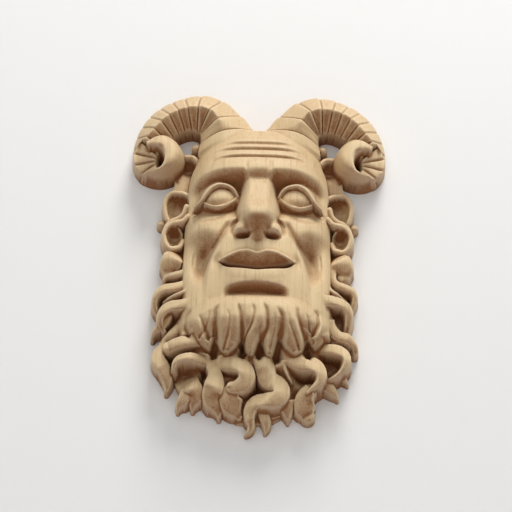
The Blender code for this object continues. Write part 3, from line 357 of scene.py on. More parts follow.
class Relief:
    """The height of the carving over the back plane, on a square grid."""

    def __init__(self, cell, strand_depth):
        self.cell = cell
        self.strand_depth = strand_depth
        self.x = np.arange(FIELD_X[0], FIELD_X[1] + cell, cell)
        self.z = np.arange(FIELD_Z[0], FIELD_Z[1] + cell, cell)
        self.X, self.Z = np.meshgrid(self.x, self.z)
        self.H = np.full(self.X.shape, EMPTY)

    def near(self, path, reach):
        """Cells near a path: place in the grid, share of the path, distance, and side (left is +)."""
        low, high = path.min(axis=0) - reach, path.max(axis=0) + reach
        columns = slice(*np.clip(np.searchsorted(self.x, (low[0], high[0])), 0, len(self.x)))
        rows = slice(*np.clip(np.searchsorted(self.z, (low[1], high[1])), 0, len(self.z)))
        X, Z = self.X[rows, columns], self.Z[rows, columns]
        share, distance, side = np.zeros(X.shape), np.full(X.shape, 1e9), np.ones(X.shape)
        for i, (start, step) in enumerate(zip(path[:-1], np.diff(path, axis=0))):
            rx, rz = X - start[0], Z - start[1]
            along = np.clip((rx * step[0] + rz * step[1]) / (step @ step + 1e-12), 0.0, 1.0)
            away = np.hypot(rx - along * step[0], rz - along * step[1])
            nearer = away < distance
            distance = np.where(nearer, away, distance)
            share = np.where(nearer, (i + along) / (len(path) - 1), share)
            side = np.where(nearer, np.where(step[0] * rz - step[1] * rx >= 0, 1.0, -1.0), side)
        return (rows, columns), share, distance, side

    def add(self, where, height):
        """Keeps the higher of the carving and a new form."""
        self.H[where] = np.maximum(self.H[where], height)

    def groove(self, points, width, depth, fade):
        """A rounded cut along a smooth path, running out at both ends."""
        where, share, distance, _ = self.near(through(points), width * 3)
        ends = smooth(np.minimum(share, 1 - share) / fade)
        self.H[where] -= depth * ends * np.exp(-((distance / width) ** 2))

    def oval(self, x, z, half_x, half_z, turn=0.0):
        """The square of the distance from an oval's centre, which is 1 at its rim."""
        c, s = math.cos(math.radians(turn)), math.sin(math.radians(turn))
        u = ((self.X - x) * c + (self.Z - z) * s) / half_x
        v = ((self.Z - z) * c - (self.X - x) * s) / half_z
        return u * u + v * v

    def swell(self, x, z, half_x, half_z, height, turn=0.0):
        """A soft rise (or hollow, where height is negative) with an oval plan."""
        self.H += height * np.exp(-self.oval(x, z, half_x, half_z, turn))

    def knob(self, x, z, radius, base, rise):
        """A small round boss."""
        away = np.hypot(self.X - x, self.Z - z)
        self.add(..., base + rise * dome(away / radius) - np.maximum(away - radius, 0) * WALL_SLOPE)

    def cord(self, points, width, start, end):
        """A raised rounded edge along a smooth path, from one height to another."""
        where, share, distance, _ = self.near(through(points), width * 2 + 3)
        top = start + (end - start) * share - 0.9 * width * (1 - dome(distance / width))
        self.add(where, top - np.maximum(distance - width, 0) * WALL_SLOPE)

    def slot(self, points, start_width, end_width, start_depth, end_depth, gentle):
        """A parting that grows along its path, cut square on one side and sloping gently on the other."""
        where, share, distance, side = self.near(through(points), 11)
        width = start_width + (end_width - start_width) * share
        depth = (start_depth + (end_depth - start_depth) * share ** 1.4) * smooth(share * 5 + 0.15)
        ends = np.where((share == 0) | (share == 1), np.exp(-((distance / width) ** 2)), 1.0)
        slope = np.where(side == gentle, 5.5, 1.8)
        cut = 0.6 * np.exp(-((distance / width) ** 2)) + 0.4 * np.exp(-((distance / slope) ** 2))
        self.H[where] -= depth * cut * ends

    def height_at(self, x, z):
        """Height of the carving at one place."""
        row = int(np.clip(round((z - FIELD_Z[0]) / self.cell), 0, len(self.z) - 1))
        column = int(np.clip(round((x - FIELD_X[0]) / self.cell), 0, len(self.x) - 1))
        return float(self.H[row, column])

    def lock(self, x, z, heading, length, turns, widths, rises, tilt):
        """A lock of hair swept along arcs, growing out of what is under its root.

        Along a straight part the section is a low round; along a bend it tilts like a ribbon,
        highest at a crisp edge inside the bend and falling away to the outside.
        """
        path, bend = chain(x, z, heading, length, turns, LOCK_STEPS)
        place = np.linspace(0, 1, LOCK_STEPS)
        half = curve(place, np.c_[np.linspace(0, 1, len(widths)), widths])
        lean = np.tanh(bend * max(widths) * 1.6) * tilt
        where, share, distance, side = self.near(path, max(widths) * 1.4 + 3)
        half = np.interp(share, place, half)
        lean = np.interp(share, place, lean)
        across = -side * distance * np.where(lean >= 0, 1.0, -1.0)
        lean = np.abs(lean)
        root = max(min(rises[0], self.height_at(x, z) - 1.5), 4.0)
        ridge = curve(share, ((0, root), (0.5, rises[1]), (0.85, 0.5 * (rises[1] + rises[2])),
                              (1, rises[2])))
        u = np.clip(across / half, -1, 1)
        plain = 0.4 * half * np.abs(u) ** 2.6
        ribbon = 0.95 * half * ((u + 1) / 2) ** 1.5 + 0.4 * np.clip((-u - 0.85) / 0.15, 0, 1) ** 2
        drop = (1 - lean) * plain + lean * ribbon
        count = max(round(max(widths) / STRAND_WIDTH), 1)
        strands = 0.5 - 0.5 * np.cos(2 * np.pi * (across / half) * count)
        drop += self.strand_depth * strands * smooth((1 - np.abs(u)) / 0.2) * smooth(share / 0.15)
        drop += np.where(share == 0, 0.9 * distance, 0)
        top = ridge - drop - np.maximum(distance - half, 0) * WALL_SLOPE
        self.H[where] = union(self.H[where], top, 1.6)


def carve_hair_ground(relief):
    """The low ground of hair beside the face and behind the beard."""
    X, Z = relief.X, relief.Z
    aside = np.abs(X) - curve(Z, HAIR_HALF_WIDTH)
    ground = curve(Z, HAIR_DEPTH) - np.maximum(aside, 0) * WALL_SLOPE * 0.6
    low, high = HAIR_ENDS
    relief.H = np.maximum(relief.H, np.where((Z > high) | (Z < low), EMPTY, ground))


def carve_horn(relief, side):
    """The band of a ram's horn, ridged and ringed, as far as its curl."""
    length = HORN_PATH[3]
    path, _ = chain(*HORN_PATH, HORN_STEPS)
    if side > 0:
        path = path * (-1, 1)
    where, share, distance, hand = relief.near(path, 26)
    inward = -side * hand * distance
    half = curve(share, HORN_HALF_WIDTH) * np.where(inward > 0, curve(share, HORN_INNER_SHARE), 1.0)
    inward = inward / half
    ridge, place = curve(share, HORN_RIDGE), curve(share, HORN_RIDGE_PLACE)
    inner, outer = curve(share, HORN_INNER_EDGE), curve(share, HORN_OUTER_EDGE)
    round_off = 1.15 + 0.8 * smooth((0.22 - share) / 0.19)
    to_inner = np.clip((inward - place) / (1 - place), 0, 1) ** round_off
    to_outer = np.clip((place - inward) / (1 + place), 0, 1) ** round_off
    top = np.where(inward > place, ridge - (ridge - inner) * to_inner, ridge - (ridge - outer) * to_outer)
    for ring in HORN_RINGS:
        lap = RING_LAP * smooth((0.56 - ring) / 0.4)
        past = share - ring
        top -= lap * np.where((past > 0) & (past < LAP_REACH), 1 - past / LAP_REACH, 0.0)
        top -= RING_DEPTH * np.exp(-((past * length / RING_WIDTH) ** 2))
    over = np.maximum(np.abs(inward) * half - half, 0)
    relief.add(where, top - over * WALL_SLOPE)


def carve_curl(relief, side):
    """The end of a horn: a flat ribbed face, and the smooth crest that curls round it to a point."""
    x, z, half_x, half_z = COIL_OUTER
    within = 1 - np.hypot((relief.X * side - x) / half_x, (relief.Z - z) / half_z)
    x, z, half_x, half_z = COIL_INNER
    out_x, out_z = relief.X * side - x, relief.Z - z
    beyond = np.hypot(np.where((out_z < 0) & (out_x > 0), 0, out_x / half_x), out_z / half_z) - 1
    turn = -np.degrees(np.arctan2(-out_z, out_x)) % -360
    first, last = COIL_CREST[0][0], COIL_CREST[-1][0]
    crested = (turn < first) & (turn > last)
    fan = np.degrees(np.arctan2(relief.Z - COIL_GAP[1], relief.X * side - COIL_GAP[0]))
    flat = (beyond < 0.1) | ~crested
    low = fan < COIL_RIBS[-1]
    face = COIL_FACE[0] + (COIL_FACE[1] - COIL_FACE[0]) * smooth((out_x + 4) / 18)
    share = np.where(low, 1.0, smooth(within / 0.3)) * flat * (within > 0)
    relief.H += (face - relief.H) * share
    relief.add(..., np.where(flat & low & (within > -0.2), face + np.minimum(within, 0) * 200, EMPTY))
    for heading in COIL_RIBS:
        c, s = math.cos(math.radians(heading)), math.sin(math.radians(heading))
        rib = [(side * (COIL_GAP[0] + away * c), COIL_GAP[1] + away * s) for away in (1.5, 11, 24)]
        relief.groove(rib, 0.8, 2.2, 0.1)
    crest = curve(-turn, [(-angle, height) for angle, height in COIL_CREST])
    across = np.clip(beyond, 0, 9) / (np.clip(beyond, 0, 9) + 1.35 * np.clip(within, 0, 1) + 1e-6)
    width = 0.64 + 0.36 * smooth((turn - last) / 50)
    out = np.clip(across / width, 0, 1)
    round_off = 2.6 + 6.4 * smooth((-turn - 90) / 80)
    top = crest - 0.8 * (1 - across) ** 4 - 3 * out ** 2 - (crest - 18) * out ** round_off
    edge = np.minimum(beyond * half_x, within * 18) * WALL_SLOPE
    shown = crested & (across <= width) & (within > -0.2)
    relief.add(..., np.where(shown, top + np.minimum(edge, 0), EMPTY))
    relief.swell(side * (COIL_GAP[0] + 1.6), COIL_GAP[1], 1.7, 4.0, -44)


def carve_skull(relief):
    """The dome of the head that the features are cut on."""
    X, Z = relief.X, relief.Z
    aside = np.abs(X)
    half = curve(Z, SKULL_HALF_WIDTH)
    square = curve(Z, ((5, 2.7), (-20, 3.4), (-45, 4.4)))
    low = smooth((4 - Z) / 18)
    head = curve(Z, SKULL_DEPTH) * rounded(aside, half * (1.07 + 0.07 * low), square)
    head = np.where(aside > half, head - (aside - half) * (6 - 3.8 * low), head)
    head -= np.maximum(Z - SKULL_TOP + 0.0035 * X ** 2, 0) * WALL_SLOPE
    relief.H = np.maximum(relief.H, head - np.maximum(-62 - Z, 0) * 3)


def carve_face(relief):
    """Eye sockets, brow, cheekbones and the muzzle round the mouth."""
    X, Z = relief.X, relief.Z
    aside = np.abs(X)
    roof = smooth((54.5 - 0.0030 * (aside - 24) ** 2 - Z) / 16.0)
    sill = smooth((Z - 15.5) / 17.0)
    across = smooth((aside - 6.0) / 6.0) * smooth((50.5 - aside) / 12.0)
    relief.H -= SOCKET_DEPTH * roof * sill * across * (1 - 0.4 * smooth((aside - 25) / 15))
    relief.swell(0, 53.5, 11, 7.5, 2.4)
    relief.swell(0, 47.2, 9.0, 3.6, -1.9)
    for side in (1, -1):
        for x, z, half_x, half_z, height, turn in FACE_FORMS:
            relief.swell(side * x, z, half_x, half_z, height, side * turn)
        relief.groove(mirrored(FOLD[:5], side, 1.2), 1.9, 2.6, 0.3)
        relief.groove(mirrored(FOLD[2:], side, 4.0), 5.0, 5.6, 0.4)
    edge = smooth((curve(Z, MUZZLE_EDGE) - aside) / 5.0)
    muzzle = MUZZLE_HEIGHT - 0.0075 * X ** 2 + curve(Z, MUZZLE_LIFT)
    muzzle = muzzle * edge + relief.H * (1 - edge)
    lift = np.maximum(muzzle - relief.H, 0) * smooth((14 - Z) / 8) * smooth((Z + 58) / 12)
    relief.H += lift


def carve_mouth(relief):
    """Lips, the hollow under them and the boss of the chin."""
    X, Z = relief.X, relief.Z
    aside = np.hypot(X, 2.2)
    line = curve(aside, MOUTH_LINE)
    top = np.maximum(curve(aside, LIP_TOP), line + 0.4)
    low = np.minimum(curve(aside, LIP_LOW), line - 0.4)
    base = relief.H.copy()
    down = np.clip((top - Z) / np.maximum(top - line, 0.5), 0, 1)
    slit = 2.2 * np.exp(-(((Z - line) / 0.9) ** 2))
    upper = base + UPPER_LIP_RISE * (1 - down) - MOUTH_DEPTH * down ** 1.2 - slit
    over = base + UPPER_LIP_RISE * smooth(1 - (Z - top) / 2.8)
    deep = np.clip((line - Z) / np.maximum(line - low, 0.5), 0, 1)
    fade = smooth((23.5 - aside) / 9.0)
    full = LOWER_LIP_RISE * smooth(deep / 0.4) + 0.6 * np.sin(np.pi * deep)
    lower = base - MOUTH_DEPTH + MOUTH_DEPTH * smooth(deep / 0.34) + fade * full
    below = LIP_LOW[0][1] - 0.006 * X ** 2 - Z
    drop = UNDER_LIP_DROP * smooth(below / UNDER_LIP_LENGTH)
    under = base + fade * (LOWER_LIP_RISE - drop + 7.6 * smooth((below - UNDER_LIP_LENGTH) / 7.0))
    new = np.where(Z > top, over, np.where(Z > line, upper, np.where(Z > low, lower, under)))
    relief.H = base + (new - base) * smooth((27.0 - aside) / 3.5) * smooth((Z + 52) / 6)
    relief.swell(0, -4, 2.6, 6.5, -1.6)
    for side in (1, -1):
        relief.swell(side * 27.5, -15, 3.2, 5, -2.0)


def carve_nose(relief):
    """The wedge of the nose, its tip, wings and nostrils."""
    X, Z = relief.X, relief.Z
    away = np.abs(X) / curve(Z, NOSE_HALF_WIDTH)
    ridge = curve(Z, NOSE_RIDGE)
    flat = curve(Z, ((48, 0.42), (30, 0.36), (12, 0.22), (0, 0.12)))
    wedge = ridge - 1.2 * away ** 2 - (ridge - 36.0) * np.clip((away - flat) / (1 - flat), 0, 1.4) ** 2.0
    relief.H = union(relief.H, np.where((Z < -4) | (Z > 49) | (away > 1.35), EMPTY, wedge), 2.0)
    relief.swell(0, 14.5, 10.5, 7.0, 2.4)
    for side in (1, -1):
        x, z, half_x, half_z, turn = NOSE_WING
        spread = relief.oval(side * x, z, half_x, half_z, side * turn)
        wing = 43.0 + 11.5 * dome(np.sqrt(spread)) - 22 * np.clip(spread - 1, 0, 9)
        relief.H = union(relief.H, wing, 5.0)
        relief.groove(mirrored(NOSE_CREASE, side), 1.7, 2.8, 0.35)
        x, z, half_x, half_z, turn = NOSTRIL
        spread = relief.oval(side * x, z, half_x, half_z, side * turn)
        relief.H -= NOSTRIL_DEPTH * np.exp(-(spread ** 1.5))


def carve_eyes(relief):
    """Blank eyeballs between raised lids, with the creases beside and below them."""
    X, Z = relief.X, relief.Z
    for side in (1, -1):
        x, z = EYE_PLACE
        half_z = np.where(Z > z, *EYE_HALF_HEIGHTS)
        from_centre = np.hypot((X - side * x) / EYE_HALF_WIDTH, (Z - z) / half_z)
        ball = EYE_HEIGHT + EYE_ROUND * dome(from_centre) - 30 * np.clip(from_centre - 1, 0, 9)
        along = (X * side - 26.6) / 11.6
        middle = 33.0 - 2.0 * along
        upper = middle + 8.6 * (1 - np.abs(along) ** 2.1)
        lower = middle - 5.2 * (1 - np.abs(along) ** 2.2)
        relief.H = union(relief.H, ball + 0.8, 6.0)
        opening = smooth((upper - Z) / 0.8) * smooth((Z - lower) / 0.8) * (np.abs(along) < 1)
        relief.H += (ball - 1.6 - relief.H) * opening
        carve_lid(relief, mirrored(UPPER_LID, side), 1.25, 44.4)
        carve_lid(relief, mirrored(LOWER_LID, side), 0.9, 41.8)
        for points, width, depth in EYE_CREASES:
            relief.groove(mirrored(points, side), width, depth, 0.35)


def carve_lid(relief, points, width, middle):
    """The raised edge of an eyelid."""
    where, share, distance, _ = relief.near(through(points), width * 3)
    between = (LID_CORNER + middle) / 2
    level = curve(share, ((0, LID_CORNER), (0.2, between + 1), (0.5, middle), (0.8, between),
                          (1, LID_CORNER - 1)))
    half = width * (0.55 + 0.45 * np.sin(np.pi * np.clip(share * 0.9 + 0.05, 0, 1)))
    relief.add(where, np.where(distance < half * 1.6, level - 1.1 * (distance / half) ** 2, EMPTY))


def carve_wrinkles(relief):
    """Furrows of the forehead, the frown and the cheeks."""
    for z, half, depth in FURROWS:
        ends = ((-half, z - 1.2), (-half * 0.5, z + 0.2), (0, z), (half * 0.5, z + 0.2), (half, z - 1.2))
        relief.groove(ends, 1.15, depth, 0.3)
    for points, width, depth in FACE_CREASES:
        for side in (1, -1):
            relief.groove(mirrored(points, side), width, depth, 0.4)


def carve_bowl(relief, side, x, z, half_x, half_z, rim, floor):
    """An oval dish."""
    spread = relief.oval(side * x, z, half_x, half_z)
    dish = floor + (rim - floor) * np.clip(spread, 0, 1) ** 1.2
    relief.H = np.where(spread < 1, np.maximum(relief.H, dish), relief.H)
    relief.H = np.where(spread < 0.85, dish, relief.H)


def carve_temples(relief):
    """The small leaf and lobe beside each temple, the hollow between them, and the knob below the ear."""
    for side in (1, -1):
        relief.cord(mirrored(TEMPLE_LEAF, side), 1.9, 17, 14)
        relief.knob(side * 45.5, 83.0, 3.2, 11, 4)
        relief.swell(side * 50.5, 67.5, 4.5, 4.5, -6.0)
        relief.knob(side * 68.5, 25.0, 3.4, 6, 5)


def carve_ears(relief):
    """Ears and the curls below them, alike on both sides."""
    for side in (1, -1):
        carve_bowl(relief, side, *EAR_BOWL)
        for points, width, start, end in EAR_RIMS:
            relief.cord(mirrored(points, side), width, start, end)
        carve_bowl(relief, side, *CUP_BOWL)


def carve_beard(relief):
    """The mass of the beard, then its locks."""
    X, Z = relief.X, relief.Z
    half = curve(Z, BEARD_HALF_WIDTH)
    aside = np.abs(X)
    mound = curve(Z, BEARD_DEPTH) * rounded(aside, half, 2.4)
    mound -= np.maximum(aside - half, 0) * 8
    relief.H = union(relief.H, np.where((Z > -34) | (Z < -118), EMPTY, mound), 2.5)
    floor = np.minimum(relief.H, 6.0)
    for x, z, half_x, half_z, depth, turn in HOLLOWS:
        relief.swell(x, z, half_x, half_z, -depth, turn)
    relief.H = np.maximum(relief.H, floor)
    for row in LOCKS:
        relief.lock(*row)
    over = Z - curve(X, CHIN_EDGE)
    half = curve(Z, CHIN_HALF_WIDTH)
    chin = curve(Z, CHIN_DEPTH) * rounded(aside, half, 2.6)
    chin -= 8 * (1 - dome(1 - np.clip(over / 12, 0, 1))) + np.maximum(-over, 0) * WALL_SLOPE * 0.5
    chin = np.where((Z > -34) | (aside > half), EMPTY, chin)
    relief.H = union(relief.H, chin, 1.2)
    for parting in PARTINGS:
        relief.slot(*parting)


def carve(cell, strand_depth):
    """The whole carving on a grid of the given cell size."""
    relief = Relief(cell, strand_depth)
    carve_hair_ground(relief)
    for side in (1, -1):
        carve_horn(relief, side)
        carve_curl(relief, side)
    carve_skull(relief)
    carve_face(relief)
    carve_mouth(relief)
    carve_nose(relief)
    carve_eyes(relief)
    carve_wrinkles(relief)
    carve_temples(relief)
    carve_ears(relief)
    carve_beard(relief)
    return relief


def closed_surface(relief):
    """Points and triangles of the solid between the back plane and the carving, as whole arrays.

    Each grid cell is two triangles. A triangle that the back plane crosses is clipped there: each cut
    point is the mean of an edge's ends, weighted by height. The flat back is the same pattern turned
    over, sharing its edge.
    """
    H = np.where(np.abs(relief.H) < LEAST_HEIGHT, LEAST_HEIGHT, relief.H)
    index = np.arange(H.size).reshape(H.shape)
    a, b, c, d = index[:-1, :-1], index[:-1, 1:], index[1:, 1:], index[1:, :-1]
    corners = np.concatenate([np.stack([a, b, c], -1).reshape(-1, 3),
                              np.stack([a, c, d], -1).reshape(-1, 3)])
    height = H.ravel()
    inside = height[corners] > 0
    count = inside.sum(axis=1)
    turned = []
    for number, odd_one in ((1, np.argmax), (2, np.argmin)):
        chosen = count == number
        first = odd_one(inside[chosen], axis=1)
        turned.append(np.take_along_axis(corners[chosen], (first[:, None] + np.arange(3)) % 3, axis=1))
    one, two = turned
    ends = np.concatenate([one[:, [0, 1]], one[:, [0, 2]], two[:, [0, 1]], two[:, [0, 2]]])
    edges, place = np.unique(np.sort(ends, axis=1), axis=0, return_inverse=True)
    cut = H.size + place.ravel()
    one_left, one_right, two_left, two_right = np.split(cut, np.cumsum([len(one), len(one), len(two)]))
    start, stop = edges.T
    share = (height[start] / (height[start] - height[stop]))[:, None]
    plan = np.c_[relief.X.ravel(), relief.Z.ravel()]
    plan = np.concatenate([plan, plan[start] * (1 - share) + plan[stop] * share])
    depth = np.r_[height, np.zeros(len(edges))]
    front = np.concatenate([
        corners[count == 3],
        np.stack([one[:, 0], one_left, one_right], axis=1),
        np.stack([two_left, two[:, 1], two[:, 2]], axis=1),
        np.stack([two_left, two[:, 2], two_right], axis=1),
    ])
    used, front = np.unique(front, return_inverse=True)
    front = front.reshape(-1, 3)
    plan, depth = plan[used], depth[used]
    on_edge = used >= H.size
    back_place = np.where(on_edge, np.arange(len(used)), len(used) + np.cumsum(~on_edge) - 1)
    back = back_place[front][:, ::-1]
    points = np.c_[plan[:, 0], -depth, plan[:, 1]]
    flat = np.c_[plan[~on_edge, 0], np.zeros((~on_edge).sum()), plan[~on_edge, 1]]
    return np.concatenate([points, flat]) * MILLIMETRE, np.concatenate([front, back])


def triangle_mesh(name, points, triangles):
    """A mesh from an array of points and an array of triangles."""
    mesh = bpy.data.meshes.new(name)
    mesh.vertices.add(len(points))
    mesh.vertices.foreach_set("co", points.astype(np.float32).ravel())
    mesh.loops.add(triangles.size)
    mesh.loops.foreach_set("vertex_index", triangles.astype(np.int32).ravel())
    mesh.polygons.add(len(triangles))
    mesh.polygons.foreach_set("loop_start", np.arange(0, triangles.size, 3, dtype=np.int32))
    mesh.update(calc_edges=True)
    return mesh


def placed(name, data):
    """A new object in the scene."""
    made = bpy.data.objects.new(name, data)
    bpy.context.scene.collection.objects.link(made)
    return made


def reduced(mesh, triangles):
    """Merges triangles where the surface is flattest until this many are left, and trues the back."""
    holder = placed("reduce", mesh)
    decimate = holder.modifiers.new("reduce", "DECIMATE")
    decimate.ratio = triangles / len(mesh.polygons)
    decimate.use_collapse_triangulate = True
    result = bpy.data.meshes.new_from_object(holder.evaluated_get(bpy.context.evaluated_depsgraph_get()))
    bpy.data.objects.remove(holder)
    place = np.empty(len(result.vertices) * 3, np.float32)
    result.vertices.foreach_get("co", place)
    place = place.reshape(-1, 3)
    place[place[:, 1] > -BACK_TOLERANCE * MILLIMETRE, 1] = 0.0
    result.vertices.foreach_set("co", place.ravel())
    return result


def blurred(field, reach):
    """A field averaged over a round window of the given reach in cells, by two passes of a bell curve."""
    span = np.arange(-int(reach * 2.5), int(reach * 2.5) + 1)
    bell = np.exp(-((span / reach) ** 2))
    bell /= bell.sum()
    padded = np.pad(field, len(span) // 2, mode="edge")
    rows = sum(weight * padded[i:i + field.shape[0], :] for i, weight in enumerate(bell))
    return sum(weight * rows[:, i:i + field.shape[1]] for i, weight in enumerate(bell))


def surface_masks(relief):
    """Where the wood is darkened in hollows, where the cut crosses the fibres or faces down, and where an
    edge is worn, from 0 to 1.

    Hollow: how far the height is below its own average; it marks stain and painted shade in hollows.
    Edge: how far it is above. End grain and shade: how steeply the surface faces up or down, since the
    fibres run upright, with down-facing slopes weighted more as painted shade under them.
    """
    H = np.maximum(relief.H, 0.0)
    near = np.clip((blurred(H, NEAR_REACH / relief.cell) - H) / NEAR_FULL, 0, 1)
    wide = np.clip((blurred(H, WIDE_REACH / relief.cell) - H) / WIDE_FULL, 0, 1)
    hollow = (near * NEAR_SHARE + wide * WIDE_SHARE) * np.clip(H / LOW_GROUND, 0, 1)
    soft = blurred(H, EDGE_REACH / relief.cell)
    edge = np.clip((H - soft) / EDGE_FULL, 0, 1) * (relief.H > 0)
    up, across = np.gradient(soft, relief.cell)
    length = np.sqrt(1 + across ** 2 + up ** 2)
    down_facing = np.clip(up / length, 0, 1)
    up_facing = np.clip(-up / length, 0, 1)
    end_grain_and_shade = np.clip(down_facing * DOWN_GRAIN_AND_SHADE_SHARE + up_facing * UP_SHARE, 0, 1)
    return {"hollow": np.clip(hollow, 0, 1), "edge": edge,
            "end_grain_and_shade": blurred(end_grain_and_shade, END_GRAIN_REACH / relief.cell)}


def paint_masks(mesh, relief):
    """Stores each mask on the mesh's points: the mean of its four nearest cells, weighted by nearness."""
    place = np.empty(len(mesh.vertices) * 3, np.float32)
    mesh.vertices.foreach_get("co", place)
    x, _, z = place.reshape(-1, 3).T / MILLIMETRE
    column = np.clip((x - FIELD_X[0]) / relief.cell, 0, len(relief.x) - 1.001)
    row = np.clip((z - FIELD_Z[0]) / relief.cell, 0, len(relief.z) - 1.001)
    i, j = row.astype(int), column.astype(int)
    v, u = row - i, column - j
    for name, mask in surface_masks(relief).items():
        below = mask[i, j] * (1 - u) + mask[i, j + 1] * u
        above = mask[i + 1, j] * (1 - u) + mask[i + 1, j + 1] * u
        attribute = mesh.attributes.new(name, "FLOAT", "POINT")
        value = below * (1 - v) + above * v
        attribute.data.foreach_set("value", value.astype(np.float32))


class Tree:
    """Short calls for adding and joining nodes in one tree."""

    def __init__(self, tree):
        self.tree = tree

    def add(self, kind, **values):
        """A node with its settings."""
        node = self.tree.nodes.new(kind)
        for name, value in values.items():
            setattr(node, name, value)
        return node

    def feed(self, node, sockets):
        """Sets each input socket, or joins another node's output to it."""
        for socket, value in sockets.items():
            if isinstance(value, bpy.types.NodeSocket):
                self.tree.links.new(value, node.inputs[socket])
            else:
                node.inputs[socket].default_value = value
        return node

    def math(self, operation, a, b=0.0, c=0.0, clamp=False):
        """A math node's result."""
        node = self.add("ShaderNodeMath", operation=operation, use_clamp=clamp)
        return self.feed(node, {0: a, 1: b, 2: c}).outputs[0]

    def mix(self, share, a, b):
        """A colour between two colours."""
        node = self.add("ShaderNodeMix", data_type="RGBA")
        return self.feed(node, {0: share, 6: a, 7: b}).outputs[2]

    def noise(self, place, scale, detail, roughness, distortion=0.0):
        """A noise texture's value, its pattern repeated so often in a metre on each axis."""
        node = self.feed(self.add("ShaderNodeTexNoise"), {
            "Vector": self.stretched(place, scale), "Scale": 1.0, "Detail": detail,
            "Roughness": roughness, "Distortion": distortion})
        return node.outputs["Fac"]

    def spread(self, value, low, high, start=0.0, end=1.0):
        """A value moved from one range to another, smoothly and held at its ends."""
        node = self.add("ShaderNodeMapRange", interpolation_type="SMOOTHSTEP")
        return self.feed(node, {0: value, 1: low, 2: high, 3: start, 4: end}).outputs[0]

    def stretched(self, place, scale, turn=0.0):
        """A place turned about the second axis, then scaled on each axis."""
        node = self.feed(self.add("ShaderNodeMapping"), {
            "Vector": place, "Rotation": (0, turn, 0), "Scale": scale})
        return node.outputs[0]

    def bump(self, strength, distance, height, **normal):
        """A surface direction that takes in small heights."""
        sockets = {"Strength": strength, "Distance": distance, "Height": height, **normal}
        return self.feed(self.add("ShaderNodeBump"), sockets).outputs["Normal"]


def new_material(name):
    """A material, its tree helper and its shader."""
    material = bpy.data.materials.new(name)
    material.use_nodes = True
    return material, Tree(material.node_tree), material.node_tree.nodes["Principled BSDF"]


def node_group(name, inputs, outputs):
    """A shader node group with named sockets: it, its tree helper, and its input and output nodes."""
    group = bpy.data.node_groups.new(name, "ShaderNodeTree")
    for side, sockets in (("INPUT", inputs), ("OUTPUT", outputs)):
        for socket, kind, default in sockets:
            made = group.interface.new_socket(socket, in_out=side, socket_type="NodeSocket" + kind)
            if default is not None:
                made.default_value = default
    tree = Tree(group)
    return group, tree, tree.add("NodeGroupInput"), tree.add("NodeGroupOutput")


def wood_grain_group():
    """Upright fibres, growth lines and short pores from a place in metres; dark specks on end grain and
    painted shade.
    """
    group, tree, given, result = node_group(
        "wood_grain",
        (("Place", "Vector", None), ("Pale", "Color", (0.7, 0.55, 0.34, 1)),
         ("Dark", "Color", (0.45, 0.29, 0.14, 1)), ("Line strength", "Float", 0.5),
         ("End grain", "Float", 0.0)),
        (("Color", "Color", None), ("Height", "Float", None), ("Pores", "Float", None)),
    )
    given = given.outputs
    shown = {
        "pores": tree.math("SUBTRACT", 1.0, given["End grain"], clamp=True),
        "specks": given["End grain"],
    }
    masks, amount, height = {}, 0.0, 0.0
    for name, (*pattern, low, high, darkens, rises) in GRAIN_PATTERNS.items():
        mask = tree.spread(tree.noise(given["Place"], *pattern), low, high)
        masks[name] = tree.math("MULTIPLY", mask, shown.get(name, 1.0))
        amount = tree.math("MULTIPLY_ADD", masks[name], darkens, amount)
        height = tree.math("MULTIPLY_ADD", masks[name], rises, height)
    amount = tree.math("MULTIPLY", amount, given["Line strength"], clamp=True)
    tree.feed(result, {
        "Color": tree.mix(amount, given["Pale"], given["Dark"]), "Height": height,
        "Pores": tree.math("MAXIMUM", masks["pores"], masks["specks"])})
    return group


def stain_and_shade_group():
    """Darkens a colour in hollows and on cross-cut and down-facing slopes, as stain and painted shade, and
    lightens it on worn edges.
    """
    group, tree, given, result = node_group(
        "stain_and_painted_shade",
        (("Color", "Color", (0.7, 0.5, 0.3, 1)), ("Place", "Vector", None), ("Hollow", "Float", 0.0),
         ("End grain", "Float", 0.0), ("Edge", "Float", 0.0), ("Stain", "Color", (0.3, 0.16, 0.07, 1)),
         ("Strength", "Float", 1.0)),
        (("Color", "Color", None), ("Mask", "Float", None)),
    )
    given = given.outputs
    patchy = tree.spread(tree.noise(given["Place"], STAIN_PATCHES, 3.0, 0.6), 0.3, 0.7, 0.88, 1.08)
    mask = tree.math("MULTIPLY", given["Hollow"], HOLLOW_STAIN_AND_SHADE)
    mask = tree.math("MULTIPLY_ADD", given["End grain"], END_GRAIN_STAIN_AND_SHADE, mask)
    mask = tree.math("MULTIPLY", mask, patchy)
    mask = tree.math("MULTIPLY", mask, given["Strength"], clamp=True)
    stained = tree.mix(mask, given["Color"], given["Stain"])
    specks = tree.spread(tree.noise(given["Place"], STAIN_SPECKS, 1.0, 0.5), 0.50, 0.62)
    specks = tree.math("MULTIPLY", tree.math("MULTIPLY", specks, mask), SPECK_SHARE)
    stained = tree.mix(specks, stained, SPECK_COLOUR)
    worn = tree.mix(tree.math("MULTIPLY", given["Edge"], WORN_SHARE), stained, WORN_COLOUR)
    tree.feed(result, {"Color": worn, "Mask": mask})
    return group


